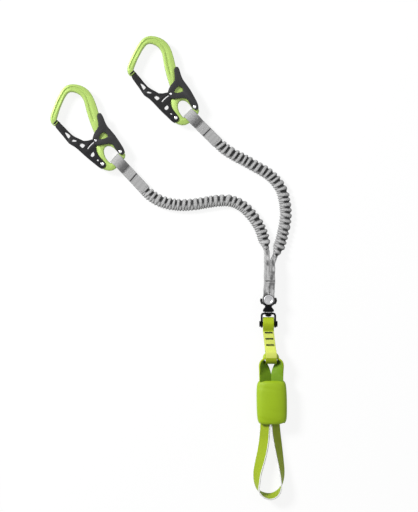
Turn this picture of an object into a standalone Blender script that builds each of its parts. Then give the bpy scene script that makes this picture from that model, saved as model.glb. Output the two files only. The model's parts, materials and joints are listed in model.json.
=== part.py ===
"""A via ferrata lanyard lying flat: two elastic arms with palm-lever carabiners,
a swivel, a short sling and an energy absorber in a pouch with a harness loop.

Metres, +Z up. The lanyard lies on the plane z = 0 with its long side along Y.
The origin is under the middle of its box.
"""

import math

import bmesh
import bpy
from mathutils import Matrix, Vector

# ---------------------------------------------------------------- sizes
# One pixel of the photograph on the table, from the 16 mm webbing of the sling.
PIXEL = 0.00143
ORIGIN_PIXEL = (168.8, 267.85)

# General gaps and roundings.
GAP = 0.0003
OVERRUN = 0.004
WELD = 0.00001
SMOOTH_ANGLE = math.radians(35)

# Carabiner: a C-shaped body with an eye, a linked gate and palm lever.
CARABINER_LENGTH = 0.1315
BODY_THICKNESS = 0.010
BODY_ROUNDING = 0.0018
GROOVE_WIDTH = 0.0044
GROOVE_DEPTH = 0.0010
CHEEK_THICKNESS = 0.0016
GATE_TIP_THICKNESS = 0.0094
PLASTIC_ROUNDING = 0.0007
LEVER_SQUEEZE = math.radians(7)
GATE_OPENING = math.radians(22)
CAM_STEPS = 8
RIVET_RADIUS = 0.0016
RIVET_HEAD_RADIUS = 0.0023
RIVET_HEAD_THICKNESS = 0.0008
LINK_PIN_RADIUS = 0.0010
LINK_HEAD_RADIUS = 0.0018
NOSE_SLOT_HEIGHT = 0.0024
NOSE_WALL = 0.0015
NOSE_SPLIT = 0.0040
GATE_BAR_HEIGHT = 0.0010
GATE_NECK_THICKNESS = 0.0032
GATE_SPRING_RADIUS = 0.0031
GATE_SPRING_WIRE = 0.0008
GATE_SPRING_TURNS = 3
GATE_SPRING_PITCH = 0.0013
SPRING_POCKET_CLEARANCE = 0.0006
LEVER_SPRING_RADIUS = 0.0021
LEVER_SPRING_WIRE = 0.0008
LEVER_SPRING_TURNS = 4
LEVER_SPRING_POCKET = 0.0050
SPRING_POINTS = 9

# Where the carabiner's pins stand, as shares of its length from the eye's bar.
GATE_PIVOT_shares = (-0.132, 0.106)
LEVER_PIVOT_shares = (0.094, 0.046)
LINK_PIN_shares = (0.0115, 0.327)
NOSE_LIP_share = 0.780
NOSE_OUTER_share = -0.162
NOSE_INNER_share = -0.090
GATE_TOP_share = 0.765
LEVER_SPRING_share = 0.217
LEVER_WALL_shares = (0.132, 0.177)
BAR_RADIUS_share = 0.032

BODY_OUTLINE_shares = [
    (-0.093, 0.802), (-0.093, 0.786), (-0.098, 0.773), (-0.110, 0.768), (-0.129, 0.767),
    (-0.147, 0.769), (-0.158, 0.777), (-0.162, 0.794), (-0.156, 0.821), (-0.137, 0.850),
    (-0.103, 0.876), (-0.053, 0.898), (0.000, 0.917), (0.061, 0.938), (0.122, 0.956),
    (0.175, 0.967), (0.224, 0.968), (0.266, 0.957), (0.304, 0.931), (0.337, 0.890),
    (0.361, 0.843), (0.374, 0.795), (0.376, 0.749), (0.367, 0.700), (0.348, 0.650),
    (0.319, 0.595), (0.289, 0.546), (0.260, 0.502), (0.236, 0.460), (0.209, 0.418),
    (0.184, 0.383), (0.167, 0.354), (0.156, 0.325), (0.150, 0.293), (0.141, 0.247),
    (0.132, 0.202), (0.126, 0.152), (0.124, 0.106), (0.123, 0.061), (0.119, 0.019),
    (0.103, -0.014), (0.076, -0.030), (0.038, -0.032), (-0.030, -0.032), (-0.076, -0.030),
    (-0.113, -0.018), (-0.141, 0.006), (-0.161, 0.040), (-0.172, 0.076), (-0.174, 0.106),
    (-0.167, 0.133), (-0.149, 0.148), (-0.128, 0.154), (-0.112, 0.170), (-0.103, 0.198),
    (-0.093, 0.228), (-0.076, 0.256), (-0.053, 0.279), (-0.027, 0.292), (0.004, 0.296),
    (0.027, 0.307), (0.040, 0.330), (0.051, 0.361), (0.065, 0.395), (0.086, 0.437),
    (0.114, 0.490), (0.152, 0.555), (0.190, 0.613), (0.227, 0.665), (0.256, 0.707),
    (0.272, 0.749), (0.277, 0.783), (0.271, 0.821), (0.257, 0.856), (0.235, 0.885),
    (0.208, 0.897), (0.175, 0.895), (0.129, 0.887), (0.076, 0.871), (0.023, 0.854),
    (-0.023, 0.835), (-0.061, 0.818),
]
EYE_shares = [
    (-0.038, 0.032), (0.042, 0.032), (0.061, 0.037), (0.068, 0.055), (0.075, 0.091),
    (0.078, 0.133), (0.070, 0.171), (0.048, 0.198), (0.019, 0.208), (-0.011, 0.197),
    (-0.038, 0.169), (-0.058, 0.134), (-0.069, 0.093), (-0.071, 0.057), (-0.062, 0.037),
]
GROOVE_shares = [
    (-0.106, 0.841), (-0.061, 0.861), (0.000, 0.884), (0.061, 0.904), (0.122, 0.920),
    (0.183, 0.932), (0.232, 0.930), (0.274, 0.910), (0.306, 0.868), (0.324, 0.817),
    (0.327, 0.760), (0.312, 0.710), (0.278, 0.654), (0.236, 0.595), (0.198, 0.537),
    (0.163, 0.479),
]
GATE_LOWER_shares = [
    (-0.201, 0.532), (-0.195, 0.502), (-0.188, 0.464), (-0.187, 0.403), (-0.190, 0.335),
    (-0.191, 0.259), (-0.189, 0.183), (-0.187, 0.122), (-0.181, 0.088), (-0.164, 0.068),
    (-0.138, 0.063), (-0.117, 0.072), (-0.105, 0.095), (-0.100, 0.129), (-0.097, 0.167),
    (-0.087, 0.213), (-0.068, 0.251), (-0.037, 0.284), (0.000, 0.294), (0.027, 0.304),
    (0.037, 0.324), (0.026, 0.347), (0.002, 0.363), (-0.046, 0.395), (-0.075, 0.426),
    (-0.087, 0.471), (-0.101, 0.517), (-0.106, 0.540), (-0.152, 0.555),
]
GATE_UPPER_shares = [
    (-0.187, 0.456), (-0.195, 0.494), (-0.200, 0.532), (-0.194, 0.570), (-0.183, 0.624),
    (-0.173, 0.684), (-0.164, 0.741), (-0.157, 0.762), (-0.129, 0.765), (-0.102, 0.762),
    (-0.094, 0.741), (-0.098, 0.684), (-0.105, 0.624), (-0.108, 0.563), (-0.102, 0.517),
    (-0.088, 0.471), (-0.084, 0.456), (-0.133, 0.450),
]
GATE_WINDOW_shares = [
    [(-0.166, 0.570), (-0.146, 0.567), (-0.129, 0.572), (-0.126, 0.601), (-0.129, 0.627),
     (-0.138, 0.648), (-0.151, 0.616)],
    [(-0.166, 0.523), (-0.156, 0.531), (-0.140, 0.529), (-0.128, 0.506), (-0.120, 0.487),
     (-0.133, 0.482), (-0.149, 0.498)],
    [(-0.143, 0.430), (-0.129, 0.437), (-0.110, 0.430), (-0.102, 0.405), (-0.103, 0.385),
     (-0.122, 0.379), (-0.143, 0.385)],
    [(-0.148, 0.271), (-0.129, 0.280), (-0.102, 0.278), (-0.096, 0.269), (-0.108, 0.243),
     (-0.123, 0.234), (-0.143, 0.237), (-0.151, 0.251)],
    [(-0.144, 0.186), (-0.137, 0.192), (-0.128, 0.185), (-0.128, 0.167), (-0.135, 0.160),
     (-0.144, 0.167)],
]
# The room between the gate's two cheeks that the body and its eye turn in.
GATE_HOLLOW_shares = [
    (-0.304, -0.046), (-0.304, 0.163), (-0.158, 0.163), (-0.158, 0.350), (-0.129, 0.395),
    (-0.068, 0.399), (0.061, 0.445), (0.152, 0.445), (0.152, -0.046),
]
LEVER_OUTLINE_shares = [
    (-0.017, 0.327), (-0.012, 0.350), (0.006, 0.367), (0.038, 0.383), (0.076, 0.394),
    (0.114, 0.398), (0.144, 0.403), (0.167, 0.422), (0.198, 0.460), (0.221, 0.487),
    (0.240, 0.499), (0.261, 0.494), (0.274, 0.478), (0.266, 0.452), (0.248, 0.418),
    (0.230, 0.384), (0.217, 0.350), (0.210, 0.319), (0.205, 0.281), (0.199, 0.243),
    (0.193, 0.209), (0.184, 0.175), (0.173, 0.137), (0.162, 0.099), (0.151, 0.065),
    (0.137, 0.034), (0.122, 0.013), (0.103, 0.002), (0.084, 0.006), (0.070, 0.023),
    (0.068, 0.046), (0.072, 0.076), (0.080, 0.106), (0.090, 0.137), (0.094, 0.163),
    (0.087, 0.189), (0.068, 0.208), (0.042, 0.228), (0.015, 0.251), (-0.008, 0.272),
    (-0.024, 0.291), (-0.026, 0.310),
]
LEVER_WINDOW_shares = [
    (0.048, 0.306), (0.061, 0.324), (0.091, 0.329), (0.125, 0.329), (0.141, 0.318),
    (0.146, 0.297), (0.140, 0.270), (0.129, 0.253), (0.103, 0.263), (0.072, 0.281),
]
# The room between the lever's cheeks; its right side is the palm wall's inner face.
LEVER_HOLLOW_shares = [
    (0.304, 0.548), (0.304, 0.319), (0.193, 0.319), (0.189, 0.297), (0.184, 0.251),
    (0.178, 0.217), (0.168, 0.179), (0.157, 0.141), (0.146, 0.103), (0.129, 0.087),
    (0.129, -0.046), (-0.076, -0.046), (-0.076, 0.548),
]

# Where the carabiners lie: their eye bars' middles in the photograph and their turn.
RIGHT_EYE_PIXEL = (191.5, 116.6)
RIGHT_TURN = math.radians(45)
LEFT_EYE_PIXEL = (118.3, 161.4)
LEFT_TURN = math.radians(49.5)

# Elastic arms: gathered tubular webbing over an elastic core.
SLEEVE_RADIUS = 0.0090
SLEEVE_FLATNESS_share = 0.60
SLEEVE_VALLEY_share = 0.86
SLEEVE_BORE_share = 0.70
SLEEVE_CORE_share = 0.56
SLEEVE_MOUTH_share = 0.90
SLEEVE_END_share = 0.46
SLEEVE_END_LENGTH = 0.016
RIB_PITCH = 0.0077
SLEEVE_LIFT = 0.0004
CORE_RECESS = 0.0010
ROUTE_STEPS = 12

# Arm webbing: the end loops round the eye bars and the tails round the swivel's pin.
END_WEBBING_WIDTH = 0.0160
END_WEBBING_THICKNESS = 0.0026
END_LOOP_SLACK = 0.0004
END_STACK_GAP = 0.0005
END_TACK_PLACE = 0.0310
END_TACK_WIDTH = 0.0128
END_TACK_LENGTH = 0.0018
END_TACK_THICKNESS = 0.0006
END_SLOPE_LENGTH = 0.0145
RIGHT_END_LEAN_share = 0.0
LEFT_END_LEAN_share = 0.115
TAIL_WIDTH = 0.0146
TAIL_THICKNESS = 0.0054
TAIL_HINGE_PLACE = 0.0465
TAIL_SPREAD_shares = (-0.38, 0.98)
TACK_ROW_PLACE = 0.0270
TACK_ROW_HEIGHT = 0.0100
TACK_ROW_LENGTH = 0.0014

# Swivel: yoke with the arms' pin, axle, shackle with the sling's pin.
SWIVEL_PIXEL = (268.3, 299.5)
ARM_PIN_RADIUS = 0.0032
ARM_PIN_HEAD_RADIUS = 0.0071
ARM_PIN_HEAD_THICKNESS = 0.0018
ARM_PIN_DISH_RADIUS = 0.0054
ARM_PIN_DISH_DEPTH = 0.0007
ARM_PIN_NUT_RADIUS = 0.0052
ARM_PIN_NUT_THICKNESS = 0.0014
GUARD_THICKNESS = 0.0008
GUARD_WIDTH = 0.0120
GUARD_SWEEP = math.radians(124)
GUARD_LIP_RADIUS = 0.0015
YOKE_CHEEK_THICKNESS = 0.0024
YOKE_HEAD_RADIUS = 0.0076
YOKE_NECK_WIDTH = 0.0084
YOKE_HUB_RADIUS = 0.0079
YOKE_HUB_LENGTH = 0.0064
YOKE_ROUNDING = 0.0010
AXLE_RADIUS = 0.0028
AXLE_HEAD_RADIUS = 0.0046
AXLE_HEAD_THICKNESS = 0.0016
AXLE_NUT_RADIUS = 0.0046
AXLE_NUT_LENGTH = 0.0030
WASHER_RADIUS = 0.0062
WASHER_THICKNESS = 0.0007
SHACKLE_THICKNESS = 0.0026
SHACKLE_WIDTH = 0.0110
SHACKLE_DEPTH = 0.0136
SHACKLE_SIDE_GAP = 0.0005
SHACKLE_CORNER = 0.0036
SHACKLE_ROUNDING = 0.0009
SHACKLE_PIN_RADIUS = 0.0028
SHACKLE_PIN_HEAD_RADIUS = 0.0044
SHACKLE_PIN_HEAD_THICKNESS = 0.0018
SWIVEL_LIFT = 0.0008

# Sling between the shackle and the absorber's loop.
SLING_WIDTH = 0.0156
SLING_THICKNESS = 0.0022
SLING_STACK_GAP = 0.0005
SLING_TOP_ROOM = 0.0088
SLING_TOP_LENGTH = 0.0110
SLING_MIDDLE_LENGTH = 0.0200
SLING_FLARE_LENGTH = 0.0090
SLING_LEAN_share = 0.117
SLING_TACK_LENGTH = 0.0012
SLING_TACK_THICKNESS = 0.0006
SLING_TACK_INSET = 0.0021

# Absorber: leaning webbing loop, pouch, tear webbing and the harness loop.
UPPER_LOOP_WIDTH = 0.0185
UPPER_LOOP_THICKNESS = 0.0024
UPPER_LOOP_HALF = 0.0139
UPPER_LOOP_LEANS = (math.radians(-22), math.radians(12), math.radians(66))
UPPER_LOOP_TURN_shares = (0.65, 0.70, 1.75)
# Half of the loop's middle line from the crossing, as shares of its half width.
UPPER_LOOP_shares = [
    (0, 0), (0.33, -0.02), (0.58, -0.13), (0.79, -0.38), (0.90, -0.68), (0.88, -0.98),
    (0.79, -1.35), (0.69, -1.85), (0.66, -2.40),
]
UPPER_LOOP_FOOT_share = 0.655
POUCH_PIXEL = (271.6, 401.8)
POUCH_WIDTH = 0.0434
POUCH_LENGTH = 0.0644
POUCH_THICKNESS = 0.0270
POUCH_WALL = 0.0015
POUCH_TURN = math.radians(1.0)
POUCH_MOUTH_WIDTH = POUCH_WIDTH - 0.0056
POUCH_EDGE_share = 0.72
POUCH_END_shares = (0.08, 0.14)
POUCH_LIFT = 0.0004
PACK_WIDTH = 0.0320
PACK_WEBBING_THICKNESS = 0.0024
PACK_FOLDS = 6
PACK_FOLD_GAP = 0.0006
PACK_LENGTH = 0.0460
HARNESS_LOOP_WIDTH = 0.0190
HARNESS_LOOP_THICKNESS = 0.0024
HARNESS_LOOP_RISE = 0.0240

# The harness loop's middle line in the photograph, with its inward lean in degrees.
HARNESS_LOOP_PIXELS = [
    (265.6, 420.8, 36), (265.4, 425.0, 38), (265.0, 432.0, 38), (263.9, 443.0, 38),
    (261.8, 454.0, 37), (259.4, 464.0, 34), (257.3, 474.0, 28), (257.1, 483.0, 20),
    (258.6, 490.6, 3), (264.2, 495.2, -13), (270.6, 496.47, -19), (276.4, 494.0, -16),
    (280.4, 489.0, -4), (282.0, 481.0, 12), (281.9, 471.5, 22), (280.2, 459.0, 26),
    (278.3, 446.0, 31), (276.6, 434.0, 31), (275.7, 425.0, 30), (275.4, 420.8, 30),
]

# The arms' middle lines in the photograph, from the carabiner to the swivel.
RIGHT_ARM_PIXELS = [
    (217.5, 142.4), (224.5, 148.6), (234, 154.6), (245, 160.4), (255, 166), (265.5, 172),
    (273, 178), (278.6, 184.6), (282, 191), (284, 198), (285.4, 206), (285.8, 214),
    (285, 223), (283.2, 232), (281, 241), (278, 249.5), (274.8, 256.6),
]
LEFT_ARM_PIXELS = [
    (144.6, 190.3), (152, 196.2), (160, 200.8), (170, 203.8), (181, 205), (193, 204.4),
    (205, 202.6), (217, 200.8), (228, 200.6), (237, 203), (245, 208.2), (251, 214.4),
    (256, 221), (260, 228), (263, 236), (265.2, 244), (266.4, 250.4),
]

# Colours: linear RGB, roughness, metallic value.
LIME_METAL = ((0.42, 0.62, 0.10), 0.38, 0.85)
CHARCOAL = ((0.025, 0.026, 0.030), 0.45, 0.0)
BRIGHT_STEEL = ((0.75, 0.76, 0.78), 0.22, 1.0)
GREY_WEBBING = ((0.52, 0.53, 0.54), 0.85, 0.0)
DARK_WEBBING = ((0.10, 0.10, 0.11), 0.85, 0.0)
ELASTIC_WHITE = ((0.70, 0.70, 0.68), 0.70, 0.0)
GLOSS_BLACK = ((0.010, 0.010, 0.012), 0.25, 0.3)
LIME_WEBBING = ((0.46, 0.66, 0.03), 0.85, 0.0)
DARK_THREAD = ((0.05, 0.08, 0.01), 0.80, 0.0)

# ---------------------------------------------------------------- scene
for leftover in list(bpy.data.objects):
    bpy.data.objects.remove(leftover, do_unlink=True)

parts = bpy.data.collections.new("via_ferrata_lanyard")
cutters = bpy.data.collections.new("cutters")
bpy.context.scene.collection.children.link(parts)
bpy.context.scene.collection.children.link(cutters)
cutters.hide_render = True


def seen(x, y):
    """A point of the photograph, in metres on the table."""
    return (x - ORIGIN_PIXEL[0]) * PIXEL, (ORIGIN_PIXEL[1] - y) * PIXEL


def scaled(shares, size):
    return [(x * size, y * size) for x, y in shares]


def material(name, looks):
    colour, roughness, metallic = looks
    made = bpy.data.materials.new(name)
    made.use_nodes = True
    shader = made.node_tree.nodes["Principled BSDF"]
    shader.inputs["Base Color"].default_value = (*colour, 1)
    shader.inputs["Roughness"].default_value = roughness
    shader.inputs["Metallic"].default_value = metallic
    return made


def empty(name, x, y, z, turn=0):
    made = bpy.data.objects.new(name, None)
    made.location = (x, y, z)
    made.rotation_euler = (0, 0, turn)
    parts.objects.link(made)
    return made


def evaluated_mesh(obj):
    """A new mesh object with the curve's or the modifiers' shape, in place of the old one."""
    graph = bpy.context.evaluated_depsgraph_get()
    mesh = bpy.data.meshes.new_from_object(obj.evaluated_get(graph))
    shape = bmesh.new()
    shape.from_mesh(mesh)
    bmesh.ops.remove_doubles(shape, verts=shape.verts, dist=WELD)
    bmesh.ops.recalc_face_normals(shape, faces=shape.faces)
    shape.to_mesh(mesh)
    shape.free()
    made = bpy.data.objects.new(obj.name + "_mesh", mesh)
    made.matrix_world = obj.matrix_world
    parts.objects.link(made)
    bpy.data.objects.remove(obj, do_unlink=True)
    return made


def applied(obj):
    """The same object with its modifiers made part of its mesh."""
    graph = bpy.context.evaluated_depsgraph_get()
    mesh = bpy.data.meshes.new_from_object(obj.evaluated_get(graph))
    obj.modifiers.clear()
    obj.data = mesh
    return obj


def plate(outlines, half_thickness, rounding=0, steps=1, smooth=2):
    """A flat piece of the given closed outlines, with rounded edges."""
    data = bpy.data.curves.new("plate", "CURVE")
    data.dimensions = "2D"
    data.fill_mode = "BOTH"
    data.resolution_u = smooth
    data.extrude = half_thickness - rounding
    data.bevel_depth = rounding
    data.bevel_resolution = steps
    data.offset = -rounding
    for outline in outlines:
        spline = data.splines.new("BEZIER")
        spline.bezier_points.add(len(outline) - 1)
        for point, place in zip(spline.bezier_points, outline):
            point.co = (*place, 0)
            point.handle_left_type = "AUTO"
            point.handle_right_type = "AUTO"
        spline.use_cyclic_u = True
    obj = bpy.data.objects.new("plate", data)
    parts.objects.link(obj)
    bpy.context.view_layer.update()
    return evaluated_mesh(obj)


def prism(outline, half_thickness):
    """A straight-edged prism, for cuts."""
    data = bpy.data.curves.new("prism", "CURVE")
    data.dimensions = "2D"
    data.fill_mode = "BOTH"
    data.extrude = half_thickness
    spline = data.splines.new("POLY")
    spline.points.add(len(outline) - 1)
    for point, place in zip(spline.points, outline):
        point.co = (*place, 0, 1)
    spline.use_cyclic_u = True
    obj = bpy.data.objects.new("prism", data)
    parts.objects.link(obj)
    bpy.context.view_layer.update()
    return evaluated_mesh(obj)


def tube(points, radius, shares=None, closed=False, steps=1):
    """A round wire or tube through the points, thicker or thinner by the shares."""
    data = bpy.data.curves.new("tube", "CURVE")
    data.dimensions = "3D"
    data.bevel_depth = radius
    data.bevel_resolution = steps
    data.use_fill_caps = not closed
    spline = data.splines.new("POLY")
    spline.points.add(len(points) - 1)
    for index, place in enumerate(points):
        spline.points[index].co = (*place, 1)
        spline.points[index].radius = shares[index] if shares else 1
    spline.use_cyclic_u = closed
    obj = bpy.data.objects.new("tube", data)
    parts.objects.link(obj)
    bpy.context.view_layer.update()
    return evaluated_mesh(obj)


def webbing(path, width, thickness, closed=False):
    """A band along a flat path of (u, v) points, as wide as width across the path's plane."""
    data = bpy.data.curves.new("webbing", "CURVE")
    data.dimensions = "2D"
    data.fill_mode = "NONE"
    data.extrude = width / 2
    data.resolution_u = 2
    spline = data.splines.new("BEZIER")
    spline.bezier_points.add(len(path) - 1)
    for point, place in zip(spline.bezier_points, path):
        point.co = (*place, 0)
        point.handle_left_type = "AUTO"
        point.handle_right_type = "AUTO"
    spline.use_cyclic_u = closed
    obj = bpy.data.objects.new("webbing", data)
    parts.objects.link(obj)
    bpy.context.view_layer.update()
    made = evaluated_mesh(obj)
    solid = made.modifiers.new("Solidify", "SOLIDIFY")
    solid.thickness = thickness
    solid.offset = 0
    solid.use_even_offset = True
    bpy.context.view_layer.update()
    return applied(made)


def leaning_webbing(route, leans, width, thickness):
    """A band on edge along (x, y, z) points, leaning to the left of its way by each angle."""
    shape = bmesh.new()
    rings = []
    for index, place in enumerate(route):
        before = Vector(route[max(index - 1, 0)])
        after = Vector(route[min(index + 1, len(route) - 1)])
        along = (after - before).normalized()
        side = Vector((-along.y, along.x, 0)).normalized()
        lean = leans[index]
        up = side * math.sin(lean) + Vector((0, 0, math.cos(lean)))
        across = side * math.cos(lean) - Vector((0, 0, math.sin(lean)))
        ring = []
        for high, wide in ((1, 1), (1, -1), (-1, -1), (-1, 1)):
            corner = Vector(place) + up * (high * width / 2) + across * (wide * thickness / 2)
            ring.append(shape.verts.new(corner))
        rings.append(ring)
    for one, two in zip(rings, rings[1:]):
        for corner in range(4):
            following = (corner + 1) % 4
            shape.faces.new((one[corner], one[following], two[following], two[corner]))
    shape.faces.new(rings[0])
    shape.faces.new(reversed(rings[-1]))
    bmesh.ops.recalc_face_normals(shape, faces=shape.faces)
    mesh = bpy.data.meshes.new("webbing")
    shape.to_mesh(mesh)
    shape.free()
    obj = bpy.data.objects.new("webbing", mesh)
    parts.objects.link(obj)
    return obj


def turned(profile, segments=24):
    """A profile of (radius, height) from the top down, turned about Z and closed at both ends."""
    mesh = bpy.data.meshes.new("turned")
    count = len(profile)
    mesh.from_pydata(
        [(radius, 0, height) for radius, height in profile],
        [(index, index + 1) for index in range(count - 1)],
        [],
    )
    obj = bpy.data.objects.new("turned", mesh)
    parts.objects.link(obj)
    screw = obj.modifiers.new("Screw", "SCREW")
    screw.steps = segments
    screw.render_steps = segments
    screw.use_merge_vertices = True
    screw.merge_threshold = WELD
    bpy.context.view_layer.update()
    return evaluated_mesh(obj)


def block(width, depth, height):
    """A box about the origin."""
    bpy.ops.mesh.primitive_cube_add(size=1)
    obj = bpy.context.active_object
    obj.data.transform(Matrix.Diagonal((width, depth, height, 1)))
    for collection in list(obj.users_collection):
        collection.objects.unlink(obj)
    parts.objects.link(obj)
    return obj


def shifted(obj, x=0, y=0, z=0):
    obj.data.transform(Matrix.Translation((x, y, z)))
    return obj


def turned_to(obj, axis):
    """Lays a piece made about Z along another axis."""
    if axis == "X":
        obj.data.transform(Matrix.Rotation(math.pi / 2, 4, "Y"))
    if axis == "Y":
        obj.data.transform(Matrix.Rotation(-math.pi / 2, 4, "X"))
    return obj


def along_side(obj):
    """Stands a flat path of (u, v) up so that u runs along Y, v along Z and the width along X."""
    obj.data.transform(Matrix(((0, 0, 1, 0), (1, 0, 0, 0), (0, 1, 0, 0), (0, 0, 0, 1))))
    return obj


def combined(target, other, operation):
    """Joins, cuts or trims the target by another piece, which becomes a hidden helper."""
    bpy.context.view_layer.update()
    modifier = target.modifiers.new(operation.title(), "BOOLEAN")
    modifier.operation = operation
    modifier.solver = "EXACT"
    modifier.object = other
    for collection in list(other.users_collection):
        collection.objects.unlink(other)
    cutters.objects.link(other)
    other.hide_render = True
    other.display_type = "WIRE"
    bpy.context.view_layer.update()
    return applied(target)


def cut(target, other):
    return combined(target, other, "DIFFERENCE")


def join(target, other):
    return combined(target, other, "UNION")


def trim(target, other):
    return combined(target, other, "INTERSECT")


def finished(obj, name, looks, frame, origin=(0, 0, 0)):
    """Names the piece, gives it its material, origin, parent and smooth shading."""
    obj.name = name
    obj.data.name = name
    obj.data.materials.clear()
    obj.data.materials.append(material(name, looks))
    obj.data.transform(Matrix.Translation([-value for value in origin]))
    obj.location = origin
    obj.parent = frame
    obj.data.shade_smooth()
    obj.data.set_sharp_from_angle(angle=SMOOTH_ANGLE)
    return obj


def turned_about(point, pivot, angle):
    x = point[0] - pivot[0]
    y = point[1] - pivot[1]
    return (
        pivot[0] + x * math.cos(angle) - y * math.sin(angle),
        pivot[1] + x * math.sin(angle) + y * math.cos(angle),
    )


# ---------------------------------------------------------------- derived places
BODY_HALF = BODY_THICKNESS / 2
GATE_CHEEK_INNER = BODY_HALF + GAP
GATE_CHEEK_OUTER = GATE_CHEEK_INNER + CHEEK_THICKNESS
LEVER_CHEEK_INNER = GATE_CHEEK_OUTER + GAP
LEVER_CHEEK_OUTER = LEVER_CHEEK_INNER + CHEEK_THICKNESS
RIVET_HEAD_TOP = LEVER_CHEEK_OUTER + GAP + RIVET_HEAD_THICKNESS
CARABINER_LIFT = RIVET_HEAD_TOP
SLEEVE_HEIGHT = SLEEVE_RADIUS * SLEEVE_FLATNESS_share + SLEEVE_LIFT
TAIL_HEIGHT = TAIL_WIDTH / 2 + SLEEVE_LIFT
YOKE_INNER = TAIL_WIDTH / 2 + GAP * 2
YOKE_OUTER = YOKE_INNER + YOKE_CHEEK_THICKNESS
SWIVEL_HEIGHT = YOKE_OUTER + GAP * 2 + ARM_PIN_NUT_THICKNESS + SWIVEL_LIFT
TAIL_INNER_RADIUS = ARM_PIN_RADIUS + GAP
TAIL_MIDDLE_RADIUS = TAIL_INNER_RADIUS + TAIL_THICKNESS / 2
TAIL_OUTER_RADIUS = TAIL_INNER_RADIUS + TAIL_THICKNESS
GUARD_RADIUS = TAIL_OUTER_RADIUS + GAP + GUARD_THICKNESS / 2
HUB_TOP = -(GUARD_RADIUS + GUARD_THICKNESS / 2 + GAP * 3)
HUB_BOTTOM = HUB_TOP - YOKE_HUB_LENGTH
CROWN_TOP = HUB_BOTTOM - GAP - WASHER_THICKNESS - GAP
CROWN_BOTTOM = CROWN_TOP - SHACKLE_THICKNESS
SHACKLE_INNER = SLING_WIDTH / 2 + SHACKLE_SIDE_GAP
SHACKLE_OUTER = SHACKLE_INNER + SHACKLE_THICKNESS
SHACKLE_PIN_PLACE = CROWN_BOTTOM - SHACKLE_DEPTH


def carabiner(side, eye_pixel, turn):
    """One carabiner about its eye bar: x across, y towards the bow, z up from its middle."""
    size = CARABINER_LENGTH
    x, y = seen(*eye_pixel)
    frame = empty(side + "_eye_frame", x, y, CARABINER_LIFT, turn)
    gate_pivot = tuple(value * size for value in GATE_PIVOT_shares)
    lever_pivot = tuple(value * size for value in LEVER_PIVOT_shares)
    link = tuple(value * size for value in LINK_PIN_shares)
    build_body(side, frame, size, gate_pivot, lever_pivot)
    build_gate(side, frame, size, gate_pivot, lever_pivot, link)
    build_lever(side, frame, size, lever_pivot, link)
    rivet_half = {"gate": GATE_CHEEK_OUTER, "lever": LEVER_CHEEK_OUTER}
    for name, pivot in (("gate", gate_pivot), ("lever", lever_pivot)):
        rivet = headed_pin(RIVET_RADIUS, RIVET_HEAD_RADIUS, rivet_half[name] + GAP)
        finished(shifted(rivet, *pivot), f"{side}_{name}_rivet", BRIGHT_STEEL, frame)
    pin = headed_pin(LINK_PIN_RADIUS, LINK_HEAD_RADIUS, LEVER_CHEEK_OUTER + GAP)
    finished(shifted(pin, *link), side + "_link_pin", BRIGHT_STEEL, frame, (*lever_pivot, 0))
    build_springs(side, frame, size, gate_pivot, lever_pivot)
    return frame


def headed_pin(radius, head_radius, half_length):
    """A pin with a low domed head at both ends."""
    top = half_length + RIVET_HEAD_THICKNESS
    profile = [
        (0, top),
        (head_radius * 0.7, top),
        (head_radius, half_length + RIVET_HEAD_THICKNESS / 2),
        (head_radius, half_length),
        (radius, half_length),
    ]
    mirrored = [(r, -z) for r, z in reversed(profile)]
    return turned(profile + mirrored, 12)


def build_body(side, frame, size, gate_pivot, lever_pivot):
    """Forged body: bow, spine and eye in one, grooved along its limbs, with a hooked nose."""
    outlines = [scaled(BODY_OUTLINE_shares, size), scaled(EYE_shares, size)]
    body = plate(outlines, BODY_HALF, BODY_ROUNDING, 1, 1)
    line = [(x, y, BODY_HALF + GROOVE_WIDTH / 2 - GROOVE_DEPTH) for x, y in scaled(GROOVE_shares, size)]
    for face in (1, -1):
        groove = tube([(x, y, z * face) for x, y, z in line], GROOVE_WIDTH / 2, steps=1)
        cut(body, groove)
    # The nose's hook: a slot open to the inside, and a split that the gate's neck passes.
    slot_left = NOSE_OUTER_share * size + NOSE_WALL
    slot_right = NOSE_INNER_share * size + OVERRUN
    slot_middle = (slot_left + slot_right) / 2
    slot_width = slot_right - slot_left
    lip_top = NOSE_LIP_share * size
    slot = block(slot_width, NOSE_SLOT_HEIGHT, BODY_THICKNESS + OVERRUN)
    cut(body, shifted(slot, slot_middle, lip_top + NOSE_SLOT_HEIGHT / 2))
    split = block(slot_width, OVERRUN * 2, NOSE_SPLIT)
    cut(body, shifted(split, slot_middle, lip_top + NOSE_SLOT_HEIGHT / 2 - OVERRUN))
    # Rivet holes, the gate spring's pocket and hole, and the lever spring's pocket.
    for pivot in (gate_pivot, lever_pivot):
        hole = turned([(RIVET_RADIUS + GAP, BODY_THICKNESS), (RIVET_RADIUS + GAP, -BODY_THICKNESS)], 12)
        cut(body, shifted(capped(hole), *pivot))
    pocket_radius = GATE_SPRING_RADIUS + GATE_SPRING_WIRE / 2 + SPRING_POCKET_CLEARANCE
    pocket_floor = BODY_HALF - gate_spring_height() - GAP * 2
    pocket = capped(turned([(pocket_radius, BODY_THICKNESS), (pocket_radius, pocket_floor)], 16))
    cut(body, shifted(pocket, *gate_pivot))
    pocket_radius = LEVER_SPRING_RADIUS + LEVER_SPRING_WIRE / 2 + SPRING_POCKET_CLEARANCE / 2
    floor_x, mouth_x = lever_spring_ends(size)
    pocket = turned([(pocket_radius, mouth_x + OVERRUN), (pocket_radius, floor_x)], 12)
    cut(body, shifted(turned_to(capped(pocket), "X"), 0, LEVER_SPRING_share * size))
    finished(body, side + "_carabiner_body", LIME_METAL, frame)


def capped(obj):
    """Closes the round ends of a turned cutter."""
    shape = bmesh.new()
    shape.from_mesh(obj.data)
    bmesh.ops.holes_fill(shape, edges=[edge for edge in shape.edges if edge.is_boundary])
    bmesh.ops.recalc_face_normals(shape, faces=shape.faces)
    shape.to_mesh(obj.data)
    shape.free()
    return obj


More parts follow.
